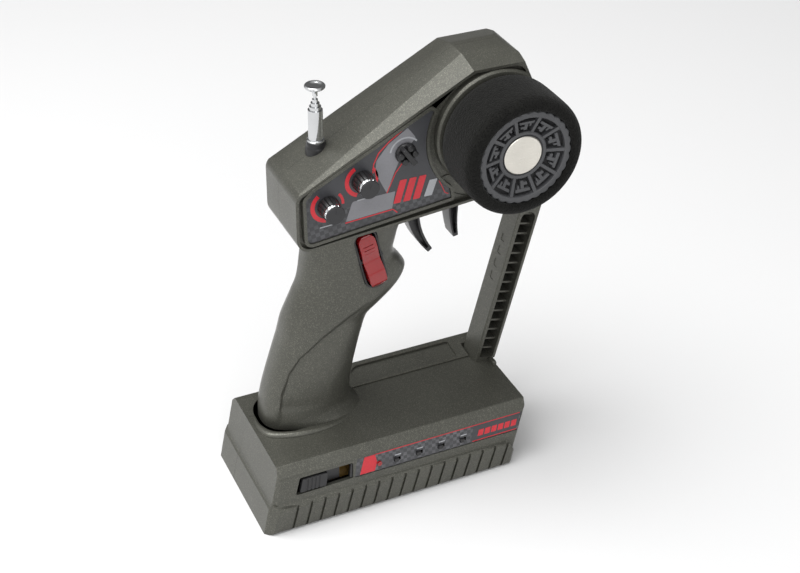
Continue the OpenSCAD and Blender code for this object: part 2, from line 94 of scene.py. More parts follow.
class Axis(Enum):
    """The direction in which an outline is given thickness or a profile is turned."""

    X = 0
    Y = 1
    Z = 2

    @property
    def vector(self) -> Vector:
        """Unit vector of the axis."""
        return Vector([1.0 if i == self.value else 0.0 for i in range(3)])

    def place(self, a: float, b: float, along: float) -> Vector:
        """Point with drawing coordinates (a, b) at a distance along the axis."""
        if self is Axis.X:
            return Vector((along, a, b))
        if self is Axis.Y:
            return Vector((a, along, b))
        return Vector((a, b, along))


# ---------------------------------------------------------------- finishes


class Graph:
    """Small helper that lays nodes into a material's tree."""

    def __init__(self, name: str) -> None:
        """Starts an empty material.

        Args:
            name: name of the material.
        """
        self.material = bpy.data.materials.new(name)
        self.material.use_nodes = True
        self.tree = self.material.node_tree
        self.tree.nodes.clear()
        self.out = self.tree.nodes.new("ShaderNodeOutputMaterial")
        self.shader = self.node("ShaderNodeBsdfPrincipled")
        self.link(self.shader.outputs["BSDF"], self.out.inputs["Surface"])
        self.coord = self.node("ShaderNodeTexCoord").outputs["Object"]

    def node(self, kind: str, **settings: object) -> bpy.types.Node:
        """Adds a node; keyword values go to its properties.

        Args:
            kind: Blender's node type.
            **settings: properties of the node.

        Returns:
            The new node.
        """
        made = self.tree.nodes.new(kind)
        for key, value in settings.items():
            setattr(made, key, value)
        return made

    def link(self, source: bpy.types.NodeSocket, target: bpy.types.NodeSocket) -> None:
        """Connects two sockets."""
        self.tree.links.new(source, target)

    def noise(self, scale: float, detail: float = 2.0, rough: float = 0.5,
              stretch: Corner = (1, 1, 1), centre: Corner = (0, 0, 0)) -> bpy.types.NodeSocket:
        """Noise over Object coordinates.

        Args:
            scale: noise cells per metre.
            detail: number of octaves.
            rough: strength of the finer octaves.
            stretch: scale along each axis.
            centre: point that the pattern is centred on, in metres.

        Returns:
            The noise value's socket.
        """
        place = self.node("ShaderNodeMapping")
        place.inputs["Location"].default_value = [-c * s for c, s in zip(centre, stretch)]
        place.inputs["Scale"].default_value = stretch
        self.link(self.coord, place.inputs["Vector"])
        cloud = self.node("ShaderNodeTexNoise")
        cloud.inputs["Scale"].default_value = scale
        cloud.inputs["Detail"].default_value = detail
        cloud.inputs["Roughness"].default_value = rough
        self.link(place.outputs["Vector"], cloud.inputs["Vector"])
        return cloud.outputs["Fac"]

    def cells(self, scale: float, output: str = "Distance") -> bpy.types.NodeSocket:
        """Voronoi cells over Object coordinates."""
        made = self.node("ShaderNodeTexVoronoi")
        made.inputs["Scale"].default_value = scale
        self.link(self.coord, made.inputs["Vector"])
        return made.outputs[output]

    def ramp(self, source: bpy.types.NodeSocket, low: float, high: float,
             to_low: float, to_high: float) -> bpy.types.NodeSocket:
        """Maps a value from one range to another, clamped."""
        made = self.node("ShaderNodeMapRange", clamp=True)
        for key, value in (("From Min", low), ("From Max", high), ("To Min", to_low), ("To Max", to_high)):
            made.inputs[key].default_value = value
        self.link(source, made.inputs["Value"])
        return made.outputs["Result"]

    def math(self, kind: str, a: bpy.types.NodeSocket, b: object) -> bpy.types.NodeSocket:
        """Arithmetic on a socket and a socket or number."""
        made = self.node("ShaderNodeMath", operation=kind)
        self.link(a, made.inputs[0])
        if isinstance(b, (int, float)):
            made.inputs[1].default_value = b
        else:
            self.link(b, made.inputs[1])
        return made.outputs[0]

    def blend(self, share: bpy.types.NodeSocket, low: Corner, high: Corner) -> bpy.types.NodeSocket:
        """Colour between two colours by a share."""
        made = self.node("ShaderNodeMix", data_type="RGBA")
        self.link(share, made.inputs["Factor"])
        made.inputs["A"].default_value = (*low, 1)
        made.inputs["B"].default_value = (*high, 1)
        return made.outputs["Result"]

    def overlay(self, share: bpy.types.NodeSocket, under: bpy.types.NodeSocket,
                over: Corner) -> bpy.types.NodeSocket:
        """Colour laid over another by a share."""
        made = self.node("ShaderNodeMix", data_type="RGBA")
        self.link(share, made.inputs["Factor"])
        self.link(under, made.inputs["A"])
        made.inputs["B"].default_value = (*over, 1)
        return made.outputs["Result"]

    def bump(self, height: bpy.types.NodeSocket, strength: float, depth: float) -> None:
        """Feeds a height to the shader's normal.

        Args:
            height: socket of the height.
            strength: mix of the bumped normal.
            depth: height of a full step, in metres.
        """
        made = self.node("ShaderNodeBump")
        made.inputs["Strength"].default_value = strength
        made.inputs["Distance"].default_value = depth
        self.link(height, made.inputs["Height"])
        self.link(made.outputs["Normal"], self.shader.inputs["Normal"])

    def set(self, **values: object) -> None:
        """Sets the shader's own sockets; underscores stand for spaces."""
        for key, value in values.items():
            self.shader.inputs[key.replace("_", " ")].default_value = value


@dataclass(frozen=True)
class MouldedPlastic:
    """Injection-moulded plastic with a fine spark-eroded grain."""

    name: str
    colour: Corner
    roughness: float = 0.5
    grain: float = 0.00006
    grain_scale: float = 1500.0
    spread: float = 0.14
    metallic: float = 0.0
    coat: float = 0.0

    def build(self) -> bpy.types.Material:
        """Makes the material."""
        g = Graph(self.name)
        broad = g.noise(38, 3)
        fine = g.noise(self.grain_scale, 2)
        tint = g.ramp(g.math("ADD", broad, g.math("MULTIPLY", fine, 0.5)), 0.5, 1.0, 0.0, 1.0)
        low = tuple(c * (1 - self.spread) for c in self.colour)
        high = tuple(c * (1 + self.spread) for c in self.colour)
        g.link(g.blend(tint, low, high), g.shader.inputs["Base Color"])
        g.link(g.ramp(broad, 0.3, 0.7, self.roughness - 0.05, self.roughness + 0.06),
               g.shader.inputs["Roughness"])
        g.set(Metallic=self.metallic, Coat_Weight=self.coat, Coat_Roughness=0.12)
        g.bump(fine, 0.6, self.grain)
        return g.material


@dataclass(frozen=True)
class FlakePlastic:
    """Grey plastic with metal flake in it, as on the casing."""

    name: str
    colour: Corner
    flake: Corner
    roughness: float = 0.34

    def build(self) -> bpy.types.Material:
        """Makes the material."""
        g = Graph(self.name)
        broad = g.noise(22, 3)
        speck = g.noise(2300, 1.5, 0.6)
        glint = g.ramp(g.cells(2600, "Color"), 0.62, 0.96, 0.0, 0.55)
        base = g.blend(g.ramp(g.math("ADD", g.math("MULTIPLY", broad, 0.45), g.math("MULTIPLY", speck, 0.55)),
                              0.3, 0.7, 0.0, 1.0),
                       tuple(c * 0.80 for c in self.colour), tuple(c * 1.2 for c in self.colour))
        g.link(g.overlay(glint, base, self.flake), g.shader.inputs["Base Color"])
        g.link(g.ramp(glint, 0.0, 0.6, 0.38, 0.75), g.shader.inputs["Metallic"])
        g.link(g.ramp(broad, 0.3, 0.7, self.roughness - 0.04, self.roughness + 0.06),
               g.shader.inputs["Roughness"])
        g.bump(g.noise(1700, 2), 0.55, 0.00007)
        return g.material


@dataclass(frozen=True)
class Metal:
    """Polished, turned or brushed metal."""

    name: str
    colour: Corner
    roughness: float = 0.12
    brush: Corner = (1, 1, 1)
    brush_scale: float = 300.0
    relief: float = 0.00001

    def build(self) -> bpy.types.Material:
        """Makes the material."""
        g = Graph(self.name)
        line = g.noise(self.brush_scale, 3, 0.6, self.brush)
        stain = g.noise(45, 2)
        low = tuple(c * 0.86 for c in self.colour)
        g.link(g.blend(g.ramp(stain, 0.3, 0.7, 0.0, 1.0), low, self.colour), g.shader.inputs["Base Color"])
        g.link(g.ramp(line, 0.3, 0.7, self.roughness * 0.7, self.roughness * 1.4),
               g.shader.inputs["Roughness"])
        g.set(Metallic=1.0)
        g.bump(line, 0.4, self.relief)
        return g.material


@dataclass(frozen=True)
class FoamRubber:
    """Black open-cell foam with small pores."""

    name: str
    colour: Corner

    def build(self) -> bpy.types.Material:
        """Makes the material."""
        g = Graph(self.name)
        pore = g.ramp(g.cells(950), 0.1, 0.55, 0.0, 1.0)
        mottled = g.noise(420, 4, 0.65)
        tone = g.math("MULTIPLY", pore, g.ramp(mottled, 0.3, 0.7, 0.4, 1.0))
        g.link(g.blend(tone, tuple(c * 0.35 for c in self.colour), tuple(c * 1.5 for c in self.colour)),
               g.shader.inputs["Base Color"])
        g.set(Roughness=0.95, Sheen_Weight=0.06, Sheen_Roughness=0.5)
        g.shader.inputs["Specular IOR Level"].default_value = 0.12
        g.bump(g.math("ADD", g.math("MULTIPLY", pore, 0.7), mottled), 0.8, 0.0005)
        return g.material


@dataclass(frozen=True)
class CheckedPrint:
    """Printed film with two greys in a checked pattern that fades out."""

    name: str
    dark: Corner
    light: Corner
    pitch: float
    turn: float = 0.0

    def build(self) -> bpy.types.Material:
        """Makes the material."""
        g = Graph(self.name)
        place = g.node("ShaderNodeMapping")
        place.inputs["Rotation"].default_value = (0, self.turn, 0)
        place.inputs["Location"].default_value = (0.00013, 0.0, 0.00017)
        g.link(g.coord, place.inputs["Vector"])
        flat = g.node("ShaderNodeVectorMath", operation="MULTIPLY")
        flat.inputs[1].default_value = (1, 0, 1)
        g.link(place.outputs["Vector"], flat.inputs[0])
        board = g.node("ShaderNodeTexChecker")
        board.inputs["Scale"].default_value = 1 / self.pitch
        board.inputs["Color1"].default_value = (*self.dark, 1)
        board.inputs["Color2"].default_value = (*self.light, 1)
        g.link(flat.outputs["Vector"], board.inputs["Vector"])
        cloud = g.ramp(g.noise(150, 2), 0.35, 0.65, 0.0, 0.8)
        g.link(g.overlay(cloud, board.outputs["Color"], self.dark), g.shader.inputs["Base Color"])
        g.set(Roughness=0.34)
        g.bump(g.noise(2200, 1), 0.3, 0.00002)
        return g.material


class Palette:
    """All finishes of the object, made once and handed out by name."""

    def __init__(self) -> None:
        """Builds every finish."""
        grey = (0.074, 0.074, 0.062)
        finishes = [
            FlakePlastic("case_flake_plastic", grey, (0.26, 0.255, 0.215)),
            MouldedPlastic("strut_shadow_plastic", (0.09, 0.09, 0.085), 0.5),
            MouldedPlastic("black_satin_plastic", (0.014, 0.014, 0.015), 0.36),
            MouldedPlastic("trigger_plastic", (0.016, 0.016, 0.017), 0.3, 0.00003),
            MouldedPlastic("rim_plastic", (0.062, 0.063, 0.067), 0.48),
            # near-black copy of the rim plastic for the well behind the spokes: painted shade
            MouldedPlastic("rim_well_plastic", (0.010, 0.010, 0.011), 0.55),
            MouldedPlastic("red_gloss_plastic", (0.27, 0.004, 0.006), 0.22, 0.00001, 400, 0.06, 0.0, 0.5),
            MouldedPlastic("knob_cap_plastic", (0.024, 0.024, 0.026), 0.55, 0.00004),
            MouldedPlastic("printed_dark", (0.042, 0.043, 0.048), 0.36, 0.00001),
            MouldedPlastic("printed_grey", (0.20, 0.20, 0.215), 0.36, 0.00001),
            MouldedPlastic("printed_red", (0.55, 0.018, 0.03), 0.38, 0.00001),
            MouldedPlastic("printed_silver", (0.36, 0.37, 0.39), 0.36, 0.00001),
            MouldedPlastic("board_green", (0.02, 0.12, 0.04), 0.4),
            MouldedPlastic("cell_wrap", (0.30, 0.18, 0.05), 0.35, 0.00001),
            CheckedPrint("panel_checks", (0.034, 0.035, 0.038), (0.070, 0.071, 0.077), 0.0026, math.radians(10)),
            CheckedPrint("strip_checks", (0.045, 0.046, 0.05), (0.12, 0.12, 0.13), 0.0024),
            Metal("chrome", (0.66, 0.67, 0.68), 0.09),
            Metal("steel", (0.62, 0.62, 0.61), 0.28, (1, 1, 6), 500),
            Metal("brushed_cap_metal", (0.80, 0.77, 0.70), 0.34, (0.06, 1, 1), 2600, 0.00002),
            Metal("bronze", (0.50, 0.36, 0.18), 0.3),
            FoamRubber("wheel_foam", (0.0070, 0.0070, 0.0063)),
        ]
        self.made = {f.name: f.build() for f in finishes}

    def __getitem__(self, name: str) -> bpy.types.Material:
        """The finish of that name."""
        return self.made[name]


PALETTE = Palette()


# ---------------------------------------------------------------- shapes


def plate(axis: Axis, corners: Sequence[Corner], low: float, high: float, steps: int = 8) -> bmesh.types.BMesh:
    """A plate with an outline of rounded corners.

    Args:
        axis: direction of its thickness.
        corners: corners (a, b, radius) in order round the outline.
        low: start along the axis.
        high: end along the axis.
        steps: segments of each rounding.

    Returns:
        The closed mesh.
    """
    bm = bmesh.new()
    points = [axis.place(a, b, low) for a, b, _ in corners]
    verts = [bm.verts.new(p) for p in points]
    bm.faces.new(verts)
    count = len(corners)
    for i, (vert, corner) in enumerate(zip(verts, corners)):
        if corner[2] <= 0:
            continue
        back = (points[i - 1] - points[i]).normalized()
        ahead = (points[(i + 1) % count] - points[i]).normalized()
        reach = corner[2] / math.tan(back.angle(ahead) / 2)
        bmesh.ops.bevel(bm, geom=[vert], offset=reach, offset_type="OFFSET", segments=steps,
                        profile=0.5, affect="VERTICES", material=-1)
    made = bmesh.ops.extrude_face_region(bm, geom=bm.faces[:])["geom"]
    bmesh.ops.translate(bm, verts=[g for g in made if isinstance(g, bmesh.types.BMVert)],
                        vec=axis.vector * (high - low))
    bmesh.ops.recalc_face_normals(bm, faces=bm.faces[:])
    return bm


def brick(low: Sequence[float], high: Sequence[float]) -> bmesh.types.BMesh:
    """A block between two corners."""
    a, b = Vector(low), Vector(high)
    bm = bmesh.new()
    bmesh.ops.create_cube(bm, size=1, matrix=Matrix.Translation((a + b) / 2) @ Matrix.Diagonal((*(b - a), 1)))
    return bm


def turned(axis: Axis, centre: Vector, profile: Sequence[Point2], steps: int = 96) -> bmesh.types.BMesh:
    """A turned solid.

    Args:
        axis: the axis it is turned about.
        centre: a point on the axis.
        profile: points (radius, distance along the axis from the centre).
        steps: segments round.

    Returns:
        The mesh, closed where the profile starts and ends on the axis or on itself.
    """
    bm = bmesh.new()
    out = {Axis.X: Vector((0, 0, 1)), Axis.Y: Vector((1, 0, 0)), Axis.Z: Vector((1, 0, 0))}[axis]
    verts = [bm.verts.new(centre + out * r + axis.vector * h) for r, h in profile]
    edges = [bm.edges.new(pair) for pair in zip(verts, verts[1:])]
    bmesh.ops.spin(bm, geom=verts + edges, cent=centre, axis=axis.vector, dvec=(0, 0, 0),
                   angle=math.tau, steps=steps, use_merge=True, use_duplicate=False)
    bmesh.ops.remove_doubles(bm, verts=bm.verts[:], dist=1e-4)
    bmesh.ops.recalc_face_normals(bm, faces=bm.faces[:])
    return bm


def drum(axis: Axis, centre: Vector, radius: float, low: float, high: float, steps: int = 64) -> bmesh.types.BMesh:
    """A plain closed cylinder, placed along its axis from low to high past the centre."""
    return turned(axis, centre, [(0, low), (radius, low), (radius, high), (0, high)], steps)


def wrapped(columns: int, levels: int, shape: Callable[[float, float], Vector]) -> bmesh.types.BMesh:
    """A closed sleeve from a grid that is bent round a shape.

    Args:
        columns: faces round.
        levels: faces from bottom to top.
        shape: place of a point from its share round and its share upwards.

    Returns:
        The capped mesh.
    """
    bm = bmesh.new()
    bmesh.ops.create_grid(bm, x_segments=columns, y_segments=levels, size=0.5)
    for vert in bm.verts:
        vert.co = shape(vert.co.x + 0.5, vert.co.y + 0.5)
    bmesh.ops.remove_doubles(bm, verts=bm.verts[:], dist=1e-4)
    rims = [e for e in bm.edges if len(e.link_faces) == 1]
    bmesh.ops.holes_fill(bm, edges=rims, sides=0)
    bmesh.ops.recalc_face_normals(bm, faces=bm.faces[:])
    return bm


def gathered(parts: Sequence[bmesh.types.BMesh]) -> bmesh.types.BMesh:
    """Puts several meshes into one and frees them."""
    whole = bmesh.new()
    for part in parts:
        mesh = bpy.data.meshes.new("part")
        part.to_mesh(mesh)
        part.free()
        whole.from_mesh(mesh)
        bpy.data.meshes.remove(mesh)
    return whole


def moved(bm: bmesh.types.BMesh, matrix: Matrix) -> bmesh.types.BMesh:
    """Applies a matrix to a mesh."""
    bmesh.ops.transform(bm, matrix=matrix, verts=bm.verts[:])
    return bm


def shaped(bm: bmesh.types.BMesh, *tools: bmesh.types.BMesh, how: str = "DIFFERENCE") -> bmesh.types.BMesh:
    """Cuts, joins or intersects a mesh with others.

    Args:
        bm: the mesh to work on; it is freed.
        *tools: the meshes to use, one after another; they are freed.
        how: DIFFERENCE, UNION or INTERSECT.

    Returns:
        The new mesh.
    """
    scene = bpy.context.scene.collection
    loose = []
    for part in (bm, *tools):
        mesh = bpy.data.meshes.new("work")
        part.to_mesh(mesh)
        part.free()
        made = bpy.data.objects.new("work", mesh)
        scene.objects.link(made)
        loose.append(made)
    for tool in loose[1:]:
        step = loose[0].modifiers.new("shape", "BOOLEAN")
        step.object, step.operation, step.solver = tool, how, "EXACT"
    bpy.context.view_layer.update()
    done = loose[0].evaluated_get(bpy.context.evaluated_depsgraph_get()).to_mesh()
    result = bmesh.new()
    result.from_mesh(done)
    for made in loose:
        mesh = made.data
        bpy.data.objects.remove(made)
        bpy.data.meshes.remove(mesh)
    return result


def sliced(bm: bmesh.types.BMesh, point: Vector, normal: Vector) -> bmesh.types.BMesh:
    """Cuts away what lies past a plane and closes the cut."""
    cut = bmesh.ops.bisect_plane(bm, geom=bm.verts[:] + bm.edges[:] + bm.faces[:], dist=1e-5,
                                 plane_co=point, plane_no=normal, clear_outer=True)["geom_cut"]
    rim = [g for g in cut if isinstance(g, bmesh.types.BMEdge) and len(g.link_faces) == 1]
    if rim:
        bmesh.ops.edgeloop_fill(bm, edges=rim)
    return bm


def eased(bm: bmesh.types.BMesh, width: float, steps: int = 3, least: float = 14,
          where: Optional[Callable[[Vector], bool]] = None) -> bmesh.types.BMesh:
    """Rounds the sharp edges of a mesh.

    Args:
        bm: the mesh.
        width: how far each rounding reaches.
        steps: segments of the rounding.
        least: smallest angle, in degrees, that counts as sharp.
        where: test of an edge's middle, for some edges only.

    Returns:
        The same mesh.
    """
    sharp = [e for e in bm.edges if len(e.link_faces) == 2 and e.calc_face_angle(0) > math.radians(least)
             and (where is None or where((e.verts[0].co + e.verts[1].co) / 2))]
    bmesh.ops.bevel(bm, geom=sharp, offset=width, offset_type="OFFSET", segments=steps, profile=0.5,
                    affect="EDGES", clamp_overlap=True, material=-1)
    return bm


def publish(bm: bmesh.types.BMesh, name: str, body: str, finish: str,
            stands_for: Sequence[str] = (), ease: float = 0.3, smooth: float = 35) -> bpy.types.Object:
    """Turns a mesh in millimetres into a finished piece.

    Args:
        bm: the mesh; it is freed.
        name: name of the piece.
        body: body that it rides on.
        finish: name of its finish.
        stands_for: CAD nodes that it replaces.
        ease: width of the small rounding on sharp edges, or 0.
        smooth: angle up to which edges are shaded smooth.

    Returns:
        The object.
    """
    bmesh.ops.scale(bm, vec=(MM, MM, MM), verts=bm.verts[:])
    mesh = bpy.data.meshes.new(name)
    bm.to_mesh(mesh)
    bm.free()
    mesh.shade_smooth()
    mesh.materials.append(PALETTE[finish])
    piece = bpy.data.objects.new(name, mesh)
    bpy.context.scene.collection.objects.link(piece)
    if ease > 0:
        edge = piece.modifiers.new("ease", "BEVEL")
        edge.width, edge.segments, edge.limit_method = ease * MM, 2, "ANGLE"
        edge.angle_limit = math.radians(smooth)
        weigh = piece.modifiers.new("weigh", "WEIGHTED_NORMAL")
        weigh.keep_sharp = True
    else:
        mesh.set_sharp_from_angle(angle=math.radians(smooth))
    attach(piece, body)
    if stands_for:
        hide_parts(*stands_for)
    log.info("%s on %s: %d faces", name, body, len(mesh.polygons))
    return piece


def inset(corners: Sequence[Corner], depth: float) -> list[Corner]:
    """Moves each side of a counter-clockwise or clockwise outline inwards.

    Args:
        corners: corners (a, b, radius).
        depth: distance; negative moves outwards.

    Returns:
        The new corners, with radii that follow.
    """
    points = [Vector(c[:2]) for c in corners]
    count = len(points)
    area = sum(points[i - 1].cross(points[i]) for i in range(count))
    turn = 1 if area > 0 else -1
    done = []
    for i, corner in enumerate(corners):
        u = (points[i] - points[i - 1]).normalized()
        w = (points[(i + 1) % count] - points[i]).normalized()
        nu, nw = Vector((-u.y, u.x)) * turn, Vector((-w.y, w.x)) * turn
        shift = (nu + nw) * depth / (1 + nu.dot(nw))
        done.append((corner[0] + shift.x, corner[1] + shift.y, max(corner[2] - depth, 0.0) if corner[2] else 0.0))
    return done


# ---------------------------------------------------------------- base


@dataclass
class BaseCasing:
    """Battery base: two mouldings with a ribbed band, ledge, deck, shelf and control strip."""

    half_length: float = 84.5
    deck: float = 45.5
    lean: float = 11.5
    band_half: float = 45.0
    ledge_z: float = 21.0
    grooves: int = 17
    seam: float = 15.0
    wall_tilt: float = 3.366
    slots: tuple[float, ...] = (3.0, 17.8, 32.6, 47.4)

    def __post_init__(self) -> None:
        """Takes the seam from the frame."""
        self.seam = datum("base_shell_left")[0].y
        self.slope = math.tan(math.radians(self.lean))

    def tier(self, rows: Sequence[Corner], back: float, ledge: bool) -> bmesh.types.BMesh:
        """One storey of the casing with leaning ends and chamfered corners.

        Args:
            rows: half outline (y, z, radius) from the bottom up.
            back: how far its ends stand behind the lowest ends.
            ledge: whether the top edge of each end slopes off.

        Returns:
            The closed mesh.
        """
        bm = plate(Axis.X, list(rows) + [(-y, z, r) for y, z, r in reversed(rows)], -110, 120, 4)
        a = math.radians(self.lean)
        for end, reach in ((-1, -self.half_length + 0.95 + back), (1, self.half_length - 0.6 - back)):
            out = Vector((end * math.cos(a), 0, -end * math.sin(a)))
            sliced(bm, Vector((reach, 0, 0)), out)
            for hand in (-1, 1):
                sliced(bm, Vector((reach - end * 5.5, hand * self.band_half, 0)),
                       (out + Vector((0, hand * 0.95, 0))).normalized())
            if ledge:
                brim = Vector((reach + self.slope * self.ledge_z * -end - end * 1.9, 0, self.ledge_z))
                sliced(bm, brim, (out + Vector((0, 0, 0.75))).normalized())
        return bm

    def block(self) -> bmesh.types.BMesh:
        """Solid outer form: the ribbed band below and the set-back walls above it."""
        low = [(self.band_half - 1.5, 0, 3), (self.band_half - 0.2, self.ledge_z - 2.8, 1.0), (42.2, self.ledge_z, 0)]
        high = [(42.9, 4, 0), (42.2, self.ledge_z, 0), (41, 39.5, 2.5), (36, self.deck, 1.6)]
        upper = self.tier(high, 1.5, False)
        eased(upper, 3.2, 4, 20, lambda p: p.z > self.deck - 0.5 and abs(p.y) < 35)
        eased(upper, 1.3, 3, 20, lambda p: 20 < p.z < 42 and abs(p.x) > 60)
        lower = self.tier(low, 0.0, True)
        eased(lower, 1.0, 2, 20, lambda p: 2 < p.z < 19 and abs(p.x) > 60)
        return shaped(lower, upper, how="UNION")

    def inside(self) -> bmesh.types.BMesh:
        """Hollow of the casing."""
        side = [(self.band_half - 3.9, 5.4, 0), (self.band_half - 2.4, 17.5, 0), (39.6, 22.5, 0), (38.6, 39.5, 0),
                (33.6, self.deck - 2.6, 0)]
        bm = plate(Axis.X, side + [(-y, z, r) for y, z, r in reversed(side)], -110, 120)
        a = math.radians(self.lean)
        for end, reach in ((-1, -self.half_length + 8.5), (1, self.half_length - 8.5)):
            sliced(bm, Vector((reach, 0, 0)), Vector((end * math.cos(a), 0, -end * math.sin(a))))
        return bm

    def groove_tool(self) -> bmesh.types.BMesh:
        """Cutters of the grooves along both sides."""
        turn = Matrix.Rotation(math.radians(self.lean), 4, "Y")
        pitch = 140.6 / (self.grooves - 1)
        parts = []
        for i in range(self.grooves):
            for hand in (-1, 1):
                place = Matrix.Translation((-66.8 + i * pitch, hand * (self.band_half - 1.45), 0.7))
                follow = Matrix.Rotation(math.radians(-4.1 * hand), 4, "X")
                parts.append(moved(brick((-0.8, -1.3, 0), (0.8, 1.3, 19)), place @ follow @ turn))
        return gathered(parts)

    def on_wall(self, bm: bmesh.types.BMesh) -> bmesh.types.BMesh:
        """Lays a mesh drawn on the plane Y = 0 against the near wall."""
        tilt = Matrix.Rotation(math.radians(-self.wall_tilt), 4, "X")
        return moved(bm, Matrix.Translation((0, -42, 22.5)) @ tilt @ Matrix.Translation((0, 0, -22.5)))

    def strip_outline(self, left: float, low: float, high: float, gap: float = 0.0) -> list[Corner]:
        """Outline of the control strip, whose right end leans with the base."""
        right = self.half_length - 4 - gap
        return [(left + gap, low + gap, 0.6), (right + low * self.slope, low + gap, 0.6),
                (right + high * self.slope, high - gap, 0.6), (left + gap + 2, high - gap, 0.6)]

    def openings(self) -> list[bmesh.types.BMesh]:
        """Cutters of the recesses in the near wall and the underside."""
        slider = self.on_wall(plate(Axis.Y, [(-63.4, 25.4, 1), (-26.4, 26.0, 1), (-26.2, 37.2, 1), (-60.2, 37.2, 1)],
                                    -8, 2.6, 3))
        strip = self.on_wall(plate(Axis.Y, self.strip_outline(-25.4, 25.6, 38.9), -8, 0.9, 3))
        levers = [brick((x - 2.6, -50, 28.6), (x + 2.6, -36, 31.8)) for x in self.slots]
        led = drum(Axis.Y, Vector((-9, 0, 31)), 1.7, -50, -30, 24)
        stem = brick((-56, -50, 29.3), (-36, -30, 33.3))
        pocket = brick((-60.4, -33.4, -1), (75, 33.4, 2.9))
        bay = brick((-56, -32, 1), (56, 32, 8))
        return [slider, strip, gathered(levers + [led, stem]), pocket, bay]

    def shelf(self) -> bmesh.types.BMesh:
        """Raised shelf along the far edge of the deck, with a long pocket."""
        bm = plate(Axis.X, [(15.3, 43, 0), (15.3, 46.5, 0.3), (35.2, 49, 1.2), (37.2, 47.4, 0.8), (39.4, 41.6, 0)],
                   -9, 91, 4)
        tip = Matrix.Translation((0, 24.8, 46.2)) @ Matrix.Rotation(math.radians(7.2), 4, "X")
        pocket = moved(plate(Axis.Z, [(1.5, -7.4, 7.2), (72, -7.4, 1.5), (72, 7.4, 1.5), (1.5, 7.4, 7.2)], 0, 9, 6), tip)
        foot = plate(Axis.Z, [(79.2, -8, 0.5), (99, -8, 3), (99, 27, 3), (79.2, 27, 0.5)], self.deck, 58, 5)
        return shaped(bm, pocket, foot)

    def foot_ditch(self) -> bmesh.types.BMesh:
        """Cutter of the narrow ditch round the rear of the grip's foot."""
        return plate(Axis.Z, [(-67.6, 31.6, 17), (-67.6, -8.8, 17), (-22, -8.8, 1), (-22, 31.6, 1)],
                     self.deck - 1.4, self.deck + 4, 10)

    def build(self) -> None:
        """Publishes both halves of the casing."""
        for side in Side:
            edge = Vector((0, self.seam + side.value * 0.09, 0))
            half = sliced(self.block(), edge, Vector((0, -side.value, 0)))
            if side is Side.LEFT:
                half = shaped(half, self.shelf(), how="UNION")
            half = shaped(half, self.inside(), self.groove_tool(), *self.openings(), self.foot_ditch())
            name = side.name.lower()
            publish(half, f"base_moulding_{name}", "casing", "case_flake_plastic",
                    [f"base_shell_{name}"], 0.35)

    def toe_tab(self) -> None:
        """Publishes the small upright tab by the strut's foot."""
        tab = plate(Axis.X, [(-1.5, self.deck - 3, 0), (-0.6, 49.0, 1.4), (5.2, 48.6, 1.4), (10.5, self.deck - 3, 0)],
                    88.6, 91.2, 5)
        publish(tab, "strut_toe_tab", "casing", "case_flake_plastic", (), 0.5)


